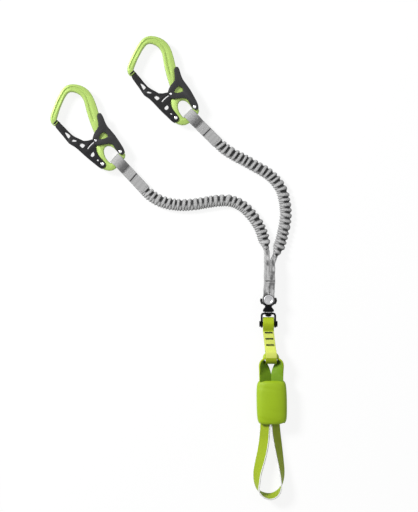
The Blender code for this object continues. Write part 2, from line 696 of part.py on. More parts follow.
def gate_spring_height():
    return GATE_SPRING_TURNS * GATE_SPRING_PITCH + GATE_SPRING_WIRE


def lever_spring_ends(size):
    """The lever spring's pocket floor, and the body's side where the pocket opens."""
    mouth = LEVER_WALL_shares[0] * size
    return mouth - LEVER_SPRING_POCKET, mouth


def cam_path(gate_pivot, lever_pivot, link, angle_from=0, angle_to=1):
    """Where the link pin runs in the gate while the lever is squeezed and the gate opens."""
    points = []
    for step in range(CAM_STEPS + 1):
        share = angle_from + (angle_to - angle_from) * step / CAM_STEPS
        moved = turned_about(link, lever_pivot, share * LEVER_SQUEEZE)
        points.append(turned_about(moved, gate_pivot, share * GATE_OPENING))
    return points


def slot_outline(points, half_width, steps=6):
    """The outline of a slot with round ends along the points."""
    def normal(index):
        before = points[max(index - 1, 0)]
        after = points[min(index + 1, len(points) - 1)]
        x, y = after[0] - before[0], after[1] - before[1]
        length = math.hypot(x, y)
        return -y / length, x / length

    outline = []
    for index, (x, y) in enumerate(points):
        across = normal(index)
        outline.append((x + across[0] * half_width, y + across[1] * half_width))
    for end, start in ((-1, -1), (0, 0)):
        x, y = points[end]
        across = normal(len(points) - 1 if end else 0)
        first = math.atan2(across[1], across[0]) + (0 if end else math.pi)
        arc = []
        for step in range(1, steps):
            angle = first - math.pi * step / steps
            arc.append((x + half_width * math.cos(angle), y + half_width * math.sin(angle)))
        if end:
            outline += arc
            for index in range(len(points) - 1, -1, -1):
                across = normal(index)
                px, py = points[index]
                outline.append((px - across[0] * half_width, py - across[1] * half_width))
        else:
            outline += arc
    return outline


def build_gate(side, frame, size, gate_pivot, lever_pivot, link):
    """Lattice gate: a thick lower frame of two cheeks astride the body and a slim upper bar."""
    gate = plate([scaled(GATE_LOWER_shares, size)], GATE_CHEEK_OUTER, PLASTIC_ROUNDING, 0, 1)
    upper = plate([scaled(GATE_UPPER_shares, size)], GATE_TIP_THICKNESS / 2, PLASTIC_ROUNDING, 0, 1)
    join(gate, upper)
    cut(gate, prism(scaled(GATE_HOLLOW_shares, size), GATE_CHEEK_INNER))
    for window in GATE_WINDOW_shares:
        cut(gate, plate([scaled(window, size)], GATE_CHEEK_OUTER + OVERRUN, 0, 0, 1))
    slot = slot_outline(cam_path(gate_pivot, lever_pivot, link), LINK_PIN_RADIUS + GAP)
    cut(gate, prism(slot, GATE_CHEEK_OUTER + OVERRUN))
    hole = capped(turned([(RIVET_RADIUS + GAP, GATE_CHEEK_OUTER * 2), (RIVET_RADIUS + GAP, -GATE_CHEEK_OUTER * 2)], 12))
    cut(gate, shifted(hole, *gate_pivot))
    # The cross bar at the tip, on a thin neck, that the nose's hook takes.
    bar_left = NOSE_OUTER_share * size + NOSE_WALL + GAP * 2
    bar_right = NOSE_INNER_share * size
    bar_middle = (bar_left + bar_right) / 2
    lip_top = NOSE_LIP_share * size
    bar_bottom = lip_top + (NOSE_SLOT_HEIGHT - GATE_BAR_HEIGHT) * 0.8
    bar = block(bar_right - bar_left, GATE_BAR_HEIGHT, GATE_TIP_THICKNESS)
    neck_bottom = GATE_TOP_share * size - OVERRUN / 2
    neck_height = bar_bottom + GATE_BAR_HEIGHT / 2 - neck_bottom
    neck = block(bar_right - bar_left, neck_height, GATE_NECK_THICKNESS)
    join(gate, shifted(neck, bar_middle, neck_bottom + neck_height / 2))
    join(gate, shifted(bar, bar_middle, bar_bottom + GATE_BAR_HEIGHT / 2))
    finished(gate, side + "_gate", CHARCOAL, frame, (*gate_pivot, 0))


def build_lever(side, frame, size, lever_pivot, link):
    """Palm lever: two cheeks outside the gate's, joined by the palm wall along the back."""
    lever = plate([scaled(LEVER_OUTLINE_shares, size)], LEVER_CHEEK_OUTER, PLASTIC_ROUNDING, 0, 1)
    cut(lever, prism(scaled(LEVER_HOLLOW_shares, size), LEVER_CHEEK_INNER))
    cut(lever, plate([scaled(LEVER_WINDOW_shares, size)], LEVER_CHEEK_OUTER + OVERRUN, 0, 0, 1))
    for radius, place in ((RIVET_RADIUS, lever_pivot), (LINK_PIN_RADIUS, link)):
        deep = LEVER_CHEEK_OUTER * 2
        hole = capped(turned([(radius + GAP, deep), (radius + GAP, -deep)], 12))
        cut(lever, shifted(hole, *place))
    finished(lever, side + "_palm_lever", CHARCOAL, frame, (*lever_pivot, 0))


def coil(radius, pitch, turns):
    """Points of a coil about Z that starts at +X and climbs."""
    count = int(turns * SPRING_POINTS)
    points = []
    for step in range(count + 1):
        angle = 2 * math.pi * step / SPRING_POINTS
        points.append((radius * math.cos(angle), radius * math.sin(angle), pitch * step / SPRING_POINTS))
    return points


def build_springs(side, frame, size, gate_pivot, lever_pivot):
    """A torsion coil round the gate's rivet and a pressed coil behind the palm wall."""
    points = coil(GATE_SPRING_RADIUS, GATE_SPRING_PITCH, GATE_SPRING_TURNS)
    bottom = BODY_HALF - gate_spring_height() + GATE_SPRING_WIRE / 2 - GAP
    points = [(x, y, z + bottom) for x, y, z in points]
    spring = tube(points, GATE_SPRING_WIRE / 2, steps=1)
    finished(shifted(spring, *gate_pivot), side + "_gate_spring", BRIGHT_STEEL, frame, (*gate_pivot, 0))
    start = lever_spring_ends(size)[0] + GAP + LEVER_SPRING_WIRE / 2
    end = LEVER_WALL_shares[1] * size - GAP - LEVER_SPRING_WIRE / 2
    pitch = (end - start) / LEVER_SPRING_TURNS
    spring = tube(coil(LEVER_SPRING_RADIUS, pitch, LEVER_SPRING_TURNS), LEVER_SPRING_WIRE / 2, steps=1)
    shifted(spring, 0, 0, start)
    place = (0, LEVER_SPRING_share * size, 0)
    finished(shifted(turned_to(spring, "X"), *place), side + "_lever_spring", BRIGHT_STEEL, frame)
    print(side, "spring gaps", round(GATE_SPRING_PITCH - GATE_SPRING_WIRE, 5), round(pitch - LEVER_SPRING_WIRE, 5))


# ---------------------------------------------------------------- arms
def smooth_route(points, steps):
    """A smooth curve through the points, with steps points for each stretch."""
    route = []
    count = len(points)
    for index in range(count - 1):
        a = Vector(points[max(index - 1, 0)])
        b = Vector(points[index])
        c = Vector(points[index + 1])
        d = Vector(points[min(index + 2, count - 1)])
        for step in range(steps):
            t = step / steps
            route.append(
                0.5 * ((2 * b) + (c - a) * t + (2 * a - 5 * b + 4 * c - d) * t**2 + (3 * b - a - 3 * c + d) * t**3)
            )
    route.append(Vector(points[-1]))
    return route


def even_points(route, step):
    """Points along the route about one step apart, from its first point to its last."""
    lengths = [0]
    for one, two in zip(route, route[1:]):
        lengths.append(lengths[-1] + (two - one).length)
    count = max(2, round(lengths[-1] / step))
    found = []
    index = 0
    for number in range(count + 1):
        wanted = lengths[-1] * number / count
        while index < len(lengths) - 2 and lengths[index + 1] < wanted:
            index += 1
        span = lengths[index + 1] - lengths[index]
        share = (wanted - lengths[index]) / span if span else 0
        found.append((wanted, route[index].lerp(route[index + 1], share)))
    return found, lengths[-1]


def eased(share):
    share = min(1, max(0, share))
    return share * share * (3 - 2 * share)


def sleeve_solid(points, length, shares, steps):
    """A tube along the arm that turns from lying flat to standing on edge at its far end."""
    made = tube([(place.x, place.y, 0) for _, place in points], SLEEVE_RADIUS, shares, steps=steps)
    ends = [(place, wanted) for wanted, place in points]
    upright = TAIL_WIDTH / 2 / (SLEEVE_RADIUS * SLEEVE_END_share) * 1.06
    for vertex in made.data.vertices:
        flat = Vector((vertex.co.x, vertex.co.y))
        wanted = min(ends, key=lambda end: (end[0].xy - flat).length)[1]
        turn = eased((wanted - (length - SLEEVE_END_LENGTH)) / SLEEVE_END_LENGTH)
        factor = SLEEVE_FLATNESS_share + (upright - SLEEVE_FLATNESS_share) * turn
        narrowed = SLEEVE_RADIUS * (1 + (SLEEVE_END_share - 1) * turn)
        vertex.co.z = narrowed * factor + SLEEVE_LIFT + vertex.co.z * factor
    return made


def build_arm(side, pixels, frame, hinge, lean):
    """Ribbed sleeve with its bore, the elastic core in it and the tail down to the fork."""
    route = smooth_route([(*seen(x, y), 0) for x, y in pixels], ROUTE_STEPS)
    points, length = even_points(route, RIB_PITCH / 2)

    def narrowing(wanted):
        mouth = SLEEVE_MOUTH_share + (1 - SLEEVE_MOUTH_share) * eased(wanted / RIB_PITCH)
        turn = eased((wanted - (length - SLEEVE_END_LENGTH)) / SLEEVE_END_LENGTH)
        return mouth + (SLEEVE_END_share - 1) * turn

    ribs = []
    for index, (wanted, _) in enumerate(points):
        ribs.append(narrowing(wanted) * (1 if index % 2 else SLEEVE_VALLEY_share))
    sleeve = sleeve_solid(points, length, ribs, 2)
    coarse = points[::2] if len(points) % 2 else points[::2] + points[-1:]
    start = coarse[0][1] + (coarse[0][1] - coarse[1][1]).normalized() * OVERRUN
    end = coarse[-1][1] + (coarse[-1][1] - coarse[-2][1]).normalized() * OVERRUN
    longer = [(0, start)] + coarse + [(length, end)]
    bore = sleeve_solid(longer, length, [narrowing(wanted) * SLEEVE_BORE_share for wanted, _ in longer], 1)
    cut(sleeve, bore)
    shorter = [point for point in coarse if CORE_RECESS < point[0] < length - CORE_RECESS]
    core = sleeve_solid(shorter, length, [narrowing(wanted) * SLEEVE_CORE_share for wanted, _ in shorter], 1)
    finished(sleeve, side + "_arm_sleeve", GREY_WEBBING, None)
    finished(core, side + "_arm_core", ELASTIC_WHITE, None)
    build_tail(side, route, hinge)
    build_end_loop(side, frame, route[0], lean)


def build_tail(side, route, hinge):
    """The flat webbing on edge between the sleeve and the arm's bending line at the fork."""
    last = route[-1]
    along = (route[-1] - route[-3]).normalized()
    start = last + along * GAP * 2
    places = [start, start + along * OVERRUN, Vector((hinge[0], hinge[1] + OVERRUN, 0)), Vector((*hinge, 0))]
    line = smooth_route([(place.x, place.y, 0) for place in places], 2)
    low = TAIL_HEIGHT
    high = SWIVEL_HEIGHT
    total = (line[-1] - line[0]).length
    raised = [(place.x, place.y, low + (high - low) * eased((place - line[0]).length / total)) for place in line]
    tail = leaning_webbing(raised, [0] * len(raised), TAIL_WIDTH, TAIL_THICKNESS)
    knuckle = turned(
        [(0, TAIL_WIDTH / 2), (TAIL_THICKNESS / 2, TAIL_WIDTH / 2), (TAIL_THICKNESS / 2, -TAIL_WIDTH / 2), (0, -TAIL_WIDTH / 2)],
        16,
    )
    join(tail, shifted(knuckle, hinge[0], hinge[1], SWIVEL_HEIGHT))
    finished(tail, side + "_arm_tail", GREY_WEBBING, None, (*hinge, SWIVEL_HEIGHT))


def build_end_loop(side, frame, mouth, lean):
    """The webbing round the eye bar, sloping down to a flat stack with a bar tack."""
    bar = CARABINER_LENGTH * BAR_RADIUS_share
    inner = math.hypot(bar, BODY_HALF) - BODY_ROUNDING * (math.sqrt(2) - 1) + END_LOOP_SLACK
    middle = inner + END_WEBBING_THICKNESS / 2
    drop = SLEEVE_HEIGHT - CARABINER_LIFT
    half = (END_WEBBING_THICKNESS + END_STACK_GAP) / 2
    local = frame_point(frame, mouth)
    tail_end = local[1] + GAP * 2
    path = [(tail_end, drop + half), (-END_SLOPE_LENGTH - OVERRUN * 2, drop + half), (-END_SLOPE_LENGTH, drop + half)]
    path.append((-END_SLOPE_LENGTH * 0.68, (drop + half + middle) / 2 - OVERRUN / 4))
    path.append((-END_SLOPE_LENGTH * 0.36, middle * 0.86))
    for step in range(9):
        angle = math.pi / 2 - math.pi * step / 8
        path.append((middle * math.cos(angle), middle * math.sin(angle)))
    path.append((-END_SLOPE_LENGTH * 0.6, -middle * 0.97))
    path.append((-END_SLOPE_LENGTH - OVERRUN, drop - half))
    path.append((-END_SLOPE_LENGTH - OVERRUN * 2, drop - half))
    path.append((tail_end, drop - half))
    loop = along_side(webbing(path, END_WEBBING_WIDTH, END_WEBBING_THICKNESS))
    finished(sheared(loop, lean), side + "_arm_end_loop", GREY_WEBBING, frame)
    tack = block(END_TACK_WIDTH, END_TACK_LENGTH, END_TACK_THICKNESS)
    height = drop + half + END_WEBBING_THICKNESS / 2 + GAP + END_TACK_THICKNESS / 2
    shifted(tack, 0, -END_TACK_PLACE, height)
    finished(sheared(tack, lean), side + "_arm_end_tack", DARK_WEBBING, frame)


def sheared(obj, lean):
    """Lets the webbing run slightly aslant behind the eye's bar."""
    for vertex in obj.data.vertices:
        vertex.co.x += lean * min(0, vertex.co.y)
    return obj


def frame_point(frame, place):
    """A point of the table in the frame of one carabiner."""
    bpy.context.view_layer.update()
    return frame.matrix_world.inverted() @ Vector((place.x, place.y, 0))


def build_fork(frame, hinges):
    """The one webbing that both arms share, round the swivel's pin, with its guard and tack."""
    lefts = TAIL_SPREAD_shares[0] * TAIL_THICKNESS
    rights = TAIL_SPREAD_shares[1] * TAIL_THICKNESS
    radius = TAIL_MIDDLE_RADIUS
    top = TAIL_HINGE_PLACE - TAIL_THICKNESS / 2 - GAP * 2
    left = [(lefts, top), (lefts - GAP, top * 0.80), (-radius * 0.52, top * 0.42), (-radius * 0.88, top * 0.17)]
    arc = []
    for step in range(9):
        angle = math.pi + math.pi * step / 8
        arc.append((radius * math.cos(angle), radius * math.sin(angle)))
    right = [(radius * 0.97, top * 0.17), (radius * 0.93, top * 0.42), (rights, top * 0.80), (rights, top)]
    fork = webbing(left + arc + right, TAIL_WIDTH, TAIL_THICKNESS)
    reach = (abs(lefts) + rights) * 2
    row = block(reach, TACK_ROW_LENGTH + GAP * 2, TACK_ROW_HEIGHT + GAP * 2)
    cut(fork, shifted(row, (lefts + rights) / 2, TACK_ROW_PLACE))
    finished(fork, "arms_fork_webbing", GREY_WEBBING, frame)
    width = rights - lefts + TAIL_THICKNESS
    row = block(width, TACK_ROW_LENGTH, TACK_ROW_HEIGHT)
    finished(shifted(row, (lefts + rights) / 2, TACK_ROW_PLACE), "arms_fork_tack", DARK_WEBBING, frame)
    arc = []
    for step in range(13):
        angle = -math.pi / 2 - GUARD_SWEEP / 2 + GUARD_SWEEP * step / 12
        arc.append((GUARD_RADIUS * math.cos(angle), GUARD_RADIUS * math.sin(angle)))
    guard = webbing(arc, GUARD_WIDTH, GUARD_THICKNESS)
    for x, y in (arc[0], arc[-1]):
        half = GUARD_WIDTH / 2
        lip = turned([(0, half), (GUARD_LIP_RADIUS, half), (GUARD_LIP_RADIUS, -half), (0, -half)], 8)
        outward = 1 + (GUARD_LIP_RADIUS - GUARD_THICKNESS / 2) / GUARD_RADIUS
        join(guard, shifted(lip, x * outward, y * outward))
    finished(guard, "arms_fork_guard", GLOSS_BLACK, frame)


# ---------------------------------------------------------------- swivel
def build_yoke(frame):
    """Bell-shaped yoke whose two cheeks hold the arms' pin, bored for the axle."""
    hub = YOKE_HUB_RADIUS
    neck = YOKE_NECK_WIDTH / 2
    head = YOKE_HEAD_RADIUS
    outline = []
    for step in range(15):
        angle = math.radians(-52) + math.radians(284) * step / 14
        outline.append((head * math.cos(angle), head * math.sin(angle)))
    left = [(-neck, HUB_TOP * 0.80), (-neck * 1.15, HUB_TOP), (-hub * 0.92, HUB_TOP + (HUB_BOTTOM - HUB_TOP) * 0.45)]
    left += [(-hub, HUB_BOTTOM * 0.92), (-hub * 0.97, HUB_BOTTOM)]
    right = [(-x, y) for x, y in reversed(left)]
    yoke = plate([outline + left + right], YOKE_OUTER, YOKE_ROUNDING, 0, 1)
    bell = [
        (0, head * 2), (YOKE_OUTER * 1.3, head * 2), (YOKE_OUTER * 1.3, HUB_TOP * 0.9),
        (YOKE_OUTER * 1.02, HUB_TOP + (HUB_BOTTOM - HUB_TOP) * 0.35),
        (hub * 1.14, HUB_BOTTOM * 0.93), (hub * 0.98, HUB_BOTTOM), (0, HUB_BOTTOM),
    ]
    trim(yoke, turned_to(turned(bell, 24), "Y"))
    opening = block(YOKE_OUTER * 4, head * 4 - HUB_TOP, YOKE_INNER * 2)
    cut(yoke, shifted(opening, 0, HUB_TOP + (head * 4 - HUB_TOP) / 2))
    hole = capped(turned([(ARM_PIN_RADIUS + GAP, YOKE_OUTER * 2), (ARM_PIN_RADIUS + GAP, -YOKE_OUTER * 2)], 20))
    cut(yoke, hole)
    shaft = AXLE_RADIUS + GAP
    seat = AXLE_HEAD_RADIUS + GAP
    seat_floor = HUB_TOP - AXLE_HEAD_THICKNESS - GAP * 2
    bore = turned([(0, 0), (seat, 0), (seat, seat_floor), (shaft, seat_floor), (shaft, HUB_BOTTOM * 1.3), (0, HUB_BOTTOM * 1.3)], 20)
    cut(yoke, turned_to(bore, "Y"))
    finished(yoke, "swivel_yoke", GLOSS_BLACK, frame)


def build_arm_pin(frame):
    """The arms' pin with its dished head on top, and the nut under the lower cheek."""
    under = YOKE_OUTER + GAP
    head = under + ARM_PIN_HEAD_THICKNESS
    foot = -under - ARM_PIN_NUT_THICKNESS
    pin = turned([
        (0, head - ARM_PIN_DISH_DEPTH), (ARM_PIN_DISH_RADIUS * 0.8, head - ARM_PIN_DISH_DEPTH),
        (ARM_PIN_DISH_RADIUS, head), (ARM_PIN_HEAD_RADIUS * 0.9, head),
        (ARM_PIN_HEAD_RADIUS, head - ARM_PIN_HEAD_THICKNESS * 0.35), (ARM_PIN_HEAD_RADIUS, under),
        (ARM_PIN_RADIUS, under), (ARM_PIN_RADIUS, foot), (0, foot),
    ], 24)
    finished(pin, "arm_pin", BRIGHT_STEEL, frame)
    bore = ARM_PIN_RADIUS + GAP
    nut = turned([
        (bore, -under), (ARM_PIN_NUT_RADIUS, -under), (ARM_PIN_NUT_RADIUS, foot), (bore, foot), (bore, -under),
    ], 20)
    finished(nut, "arm_pin_nut", BRIGHT_STEEL, frame)


def build_axle(frame):
    """The axle with its head in the hub, its bearing washer and its domed nut in the shackle."""
    head_top = HUB_TOP - GAP
    head_foot = head_top - AXLE_HEAD_THICKNESS
    nut_top = CROWN_BOTTOM - GAP
    nut_foot = nut_top - AXLE_NUT_LENGTH
    end = nut_foot + AXLE_NUT_LENGTH * 0.3
    axle = turned([
        (0, head_top), (AXLE_HEAD_RADIUS, head_top), (AXLE_HEAD_RADIUS, head_foot),
        (AXLE_RADIUS, head_foot), (AXLE_RADIUS, end), (0, end),
    ], 20)
    finished(turned_to(axle, "Y"), "swivel_axle", BRIGHT_STEEL, frame)
    washer_top = HUB_BOTTOM - GAP
    washer_foot = washer_top - WASHER_THICKNESS
    bore = AXLE_RADIUS + GAP
    washer = turned([
        (bore, washer_top), (WASHER_RADIUS, washer_top), (WASHER_RADIUS, washer_foot),
        (bore, washer_foot), (bore, washer_top),
    ], 24)
    finished(turned_to(washer, "Y"), "swivel_washer", BRIGHT_STEEL, frame)
    floor = end - GAP
    nut = turned([
        (bore, nut_top), (AXLE_NUT_RADIUS, nut_top), (AXLE_NUT_RADIUS, nut_top - AXLE_NUT_LENGTH * 0.35),
        (AXLE_NUT_RADIUS * 0.72, nut_top - AXLE_NUT_LENGTH * 0.85), (AXLE_NUT_RADIUS * 0.3, nut_foot), (0, nut_foot),
        (0, floor), (bore, floor), (bore, nut_top),
    ], 20)
    finished(turned_to(nut, "Y"), "swivel_axle_nut", GLOSS_BLACK, frame)


def build_shackle(frame):
    """U-shaped shackle below the yoke, with round ears for the sling's pin."""
    outer = SHACKLE_OUTER
    inner = SHACKLE_INNER
    corner = SHACKLE_CORNER
    foot = SHACKLE_PIN_PLACE - SHACKLE_WIDTH / 2
    outline = [(-outer, foot), (-outer, CROWN_TOP - corner), (-outer + corner * 0.3, CROWN_TOP - corner * 0.3)]
    outline += [(-outer + corner, CROWN_TOP)]
    outline += [(-x, y) for x, y in reversed(outline)]
    inside = [(inner, foot), (inner, CROWN_BOTTOM - corner * 0.5), (inner - corner * 0.15, CROWN_BOTTOM - corner * 0.15)]
    inside += [(inner - corner * 0.5, CROWN_BOTTOM)]
    inside += [(-x, y) for x, y in reversed(inside)]
    shackle = prism(outline + inside, SHACKLE_WIDTH / 2)
    side_view = [(CROWN_TOP + OVERRUN, SHACKLE_WIDTH / 2), (CROWN_TOP + OVERRUN, -SHACKLE_WIDTH / 2)]
    for step in range(9):
        angle = -math.pi / 2 - math.pi * step / 8
        half = SHACKLE_WIDTH / 2
        side_view.append((SHACKLE_PIN_PLACE + half * math.cos(angle), half * math.sin(angle)))
    trim(shackle, along_side(prism(side_view, outer * 2)))
    bevel = shackle.modifiers.new("Bevel", "BEVEL")
    bevel.width = SHACKLE_ROUNDING
    bevel.segments = 1
    bevel.limit_method = "ANGLE"
    bevel.angle_limit = math.radians(50)
    bpy.context.view_layer.update()
    applied(shackle)
    deep = outer * 2
    pin_hole = turned([(SHACKLE_PIN_RADIUS + GAP, deep), (SHACKLE_PIN_RADIUS + GAP, -deep)], 16)
    cut(shackle, shifted(turned_to(capped(pin_hole), "X"), 0, SHACKLE_PIN_PLACE))
    axle_hole = turned([(AXLE_RADIUS + GAP, CROWN_TOP + OVERRUN), (AXLE_RADIUS + GAP, CROWN_BOTTOM - OVERRUN)], 20)
    cut(shackle, turned_to(capped(axle_hole), "Y"))
    finished(shackle, "shackle", GLOSS_BLACK, frame)
    under = outer + GAP
    head = under + SHACKLE_PIN_HEAD_THICKNESS
    rounded = SHACKLE_PIN_HEAD_RADIUS * 0.86
    pin = turned([
        (0, head), (SHACKLE_PIN_RADIUS, head), (SHACKLE_PIN_RADIUS, -under), (SHACKLE_PIN_HEAD_RADIUS, -under),
        (SHACKLE_PIN_HEAD_RADIUS, -under - SHACKLE_PIN_HEAD_THICKNESS / 2), (rounded, -head), (0, -head),
    ], 16)
    finished(shifted(turned_to(pin, "X"), 0, SHACKLE_PIN_PLACE), "shackle_pin", GLOSS_BLACK, frame)
    bore = SHACKLE_PIN_RADIUS + GAP
    nut = turned([
        (bore, head), (rounded, head), (SHACKLE_PIN_HEAD_RADIUS, head - SHACKLE_PIN_HEAD_THICKNESS / 2),
        (SHACKLE_PIN_HEAD_RADIUS, under), (bore, under), (bore, head),
    ], 16)
    finished(shifted(turned_to(nut, "X"), 0, SHACKLE_PIN_PLACE), "shackle_pin_nut", GLOSS_BLACK, frame)


# ---------------------------------------------------------------- sling and absorber
LOOP_SWEEP_RADIUS = math.hypot(UPPER_LOOP_WIDTH, UPPER_LOOP_THICKNESS) / 2 + GAP
SLING_TOP = SHACKLE_PIN_PLACE + SLING_TOP_ROOM
SLING_NECK = SHACKLE_PIN_PLACE - SLING_TOP_LENGTH
SLING_SPLIT = SLING_NECK - SLING_MIDDLE_LENGTH
LOOP_CROSSING = SLING_SPLIT - SLING_FLARE_LENGTH - LOOP_SWEEP_RADIUS / 2


def build_sling(frame):
    """Closed band round the shackle's pin above and the absorber's loop below, sewn between."""
    half = (SLING_THICKNESS + SLING_STACK_GAP) / 2
    pin = SHACKLE_PIN_RADIUS + GAP + SLING_THICKNESS / 2
    wide = LOOP_SWEEP_RADIUS + GAP + SLING_THICKNESS / 2
    right = [
        (SLING_TOP - pin * 0.22, pin * 0.80),
        (SHACKLE_PIN_PLACE + pin * 0.80, pin * 1.16),
        (SHACKLE_PIN_PLACE - pin * 0.30, pin * 1.20),
        (SHACKLE_PIN_PLACE - pin * 1.50, pin * 0.82),
        (SLING_NECK, half),
        (SLING_NECK - OVERRUN, half),
        (SLING_SPLIT, half),
        (SLING_SPLIT - SLING_FLARE_LENGTH * 0.42, half * 1.7),
        (SLING_SPLIT - SLING_FLARE_LENGTH * 0.84, wide * 0.80),
        (LOOP_CROSSING + wide * 0.40, wide * 0.99),
        (LOOP_CROSSING, wide * 1.02),
        (LOOP_CROSSING - wide * 0.55, wide),
        (LOOP_CROSSING - wide * 0.95, wide * 0.62),
    ]
    left = [(y, -z) for y, z in reversed(right)]
    path = [(SLING_TOP, 0)] + right + [(LOOP_CROSSING - wide * 1.02, 0)] + left
    sling = along_side(webbing(path, SLING_WIDTH, SLING_THICKNESS, True))
    leaned(sling)
    finished(sling, "sling_webbing", LIME_WEBBING, frame, (0, SHACKLE_PIN_PLACE, 0))
    # A ladder of stitching on the sewn stretch: two side rows and three bars.
    top = half + SLING_THICKNESS / 2 + GAP + SLING_TACK_THICKNESS / 2
    reach = SLING_WIDTH / 2 - SLING_TACK_INSET
    length = SLING_NECK - SLING_SPLIT - SLING_TACK_LENGTH
    middle = (SLING_NECK + SLING_SPLIT) / 2
    ladder = block(reach * 2, SLING_TACK_LENGTH, SLING_TACK_THICKNESS)
    for place in (-1, 1):
        bar = block(reach * 2, SLING_TACK_LENGTH, SLING_TACK_THICKNESS)
        join(ladder, shifted(bar, 0, place * length / 2))
        row = block(SLING_TACK_LENGTH, length + SLING_TACK_LENGTH, SLING_TACK_THICKNESS)
        join(ladder, shifted(row, place * (reach - SLING_TACK_LENGTH / 2), 0))
    leaned(shifted(ladder, 0, middle, top))
    finished(ladder, "sling_stitching", DARK_THREAD, frame, (0, SHACKLE_PIN_PLACE, 0))


def leaned(obj):
    """Lets the sling lie slightly aslant below the shackle, as its soft webbing does."""
    for vertex in obj.data.vertices:
        below = max(0, SLING_NECK - vertex.co.y)
        vertex.co.x += min(below, SLING_NECK - LOOP_CROSSING) * SLING_LEAN_share
    return obj


def build_upper_loop(frame):
    """The absorber's upper webbing loop through the sling, on edge and leaning inwards."""
    half = UPPER_LOOP_HALF
    middle = (SLING_NECK - LOOP_CROSSING) * SLING_LEAN_share
    bottom = pouch_y - swivel_y + pack_end() + GAP * 4
    side = [(x * half, LOOP_CROSSING + y * half) for x, y in UPPER_LOOP_shares]
    side.append((half * UPPER_LOOP_FOOT_share, bottom))
    route = [(-x, y) for x, y in reversed(side)] + side[1:]
    places = smooth_route([(x + middle, y, 0) for x, y in route], 2)
    turns = [share * half for share in UPPER_LOOP_TURN_shares]
    leans = []
    for place in places:
        below = LOOP_CROSSING - place.y
        lean = UPPER_LOOP_LEANS[0] + (UPPER_LOOP_LEANS[1] - UPPER_LOOP_LEANS[0]) * eased(below / turns[0])
        lean += (UPPER_LOOP_LEANS[2] - UPPER_LOOP_LEANS[1]) * eased((below - turns[1]) / (turns[2] - turns[1]))
        leans.append(lean)
    band = leaning_webbing([tuple(place) for place in places], leans, UPPER_LOOP_WIDTH, UPPER_LOOP_THICKNESS)
    finished(band, "absorber_upper_loop", LIME_WEBBING, frame)


def build_pouch(frame):
    """Stuffed fabric pouch, open at both ends, with the folded tear webbing inside."""
    pouch = soft_box(POUCH_WIDTH, POUCH_LENGTH, POUCH_THICKNESS)
    wall = POUCH_WALL * 2
    inside = soft_box(POUCH_WIDTH - wall, POUCH_LENGTH - wall, POUCH_THICKNESS - wall)
    cut(pouch, inside)
    mouth = block(POUCH_MOUTH_WIDTH, POUCH_LENGTH * 2, pack_height() + GAP * 2)
    cut(pouch, mouth)
    finished(pouch, "absorber_pouch", LIME_WEBBING, frame)
    step = PACK_WEBBING_THICKNESS + PACK_FOLD_GAP
    path = []
    low = -step * (PACK_FOLDS - 1) / 2
    for fold in range(PACK_FOLDS):
        way = 1 if fold % 2 == 0 else -1
        end = PACK_LENGTH / 2 - step
        for place in (-end, -end + step, end - step, end):
            path.append((way * place, low + step * fold))
        if fold < PACK_FOLDS - 1:
            path.append((way * (end + step * 0.5), low + step * (fold + 0.5)))
    pack = along_side(webbing(path, PACK_WIDTH, PACK_WEBBING_THICKNESS))
    finished(pack, "absorber_tear_webbing", DARK_WEBBING, frame)


def pack_end():
    """From the pouch's middle to the outside of the tear webbing's folds."""
    step = PACK_WEBBING_THICKNESS + PACK_FOLD_GAP
    return PACK_LENGTH / 2 - step / 2 + PACK_WEBBING_THICKNESS / 2


def pack_height():
    return PACK_FOLDS * PACK_WEBBING_THICKNESS + (PACK_FOLDS - 1) * PACK_FOLD_GAP


def soft_box(width, depth, height):
    """A bulging box from a coarse cage, rounded by subdivision and scaled back to its size."""
    obj = block(width, depth, height)
    shape = bmesh.new()
    shape.from_mesh(obj.data)
    bmesh.ops.subdivide_edges(shape, edges=shape.edges, cuts=2, use_grid_fill=True)
    half = (width / 2, depth / 2, height / 2)
    for vertex in shape.verts:
        for axis in range(3):
            if abs(vertex.co[axis]) < half[axis] / 2:
                vertex.co[axis] = math.copysign(half[axis] * POUCH_EDGE_share, vertex.co[axis])
        out = [vertex.co[axis] / half[axis] for axis in range(3)]
        vertex.co.x *= 1 - POUCH_END_shares[0] * out[1] ** 2
        vertex.co.z *= 1 - POUCH_END_shares[1] * (out[1] ** 2 + out[0] ** 2)
    shape.to_mesh(obj.data)
    shape.free()
    surface = obj.modifiers.new("Subdivision", "SUBSURF")
    surface.levels = 1
    surface.render_levels = 1
    bpy.context.view_layer.update()
    applied(obj)
    sides = [max(v.co[i] for v in obj.data.vertices) * 2 for i in range(3)]
    obj.data.transform(Matrix.Diagonal((width / sides[0], depth / sides[1], height / sides[2], 1)))
    return obj


def build_harness_loop():
    """The long loop that ties into a harness, on edge and leaning inwards."""
    points = [(*seen(x, y), lean) for x, y, lean in HARNESS_LOOP_PIXELS]
    ends = pouch_y - pack_end() - GAP * 2
    points[0] = (points[0][0], ends, points[0][2])
    points[-1] = (points[-1][0], ends, points[-1][2])
    line = smooth_route(points, 2)
    places = []
    leans = []
    for point in line:
        lean = math.radians(point.z)
        low = HARNESS_LOOP_WIDTH / 2 * math.cos(lean) + HARNESS_LOOP_THICKNESS / 2 * abs(math.sin(lean)) + POUCH_LIFT
        high = POUCH_THICKNESS / 2 + POUCH_LIFT
        lifted = eased((point.y - (pouch_y - POUCH_LENGTH / 2 - HARNESS_LOOP_RISE)) / HARNESS_LOOP_RISE)
        places.append((point.x, point.y, low + (high - low) * lifted))
        leans.append(lean)
    band = leaning_webbing(places, leans, HARNESS_LOOP_WIDTH, HARNESS_LOOP_THICKNESS)
    finished(band, "harness_loop", LIME_WEBBING, None)


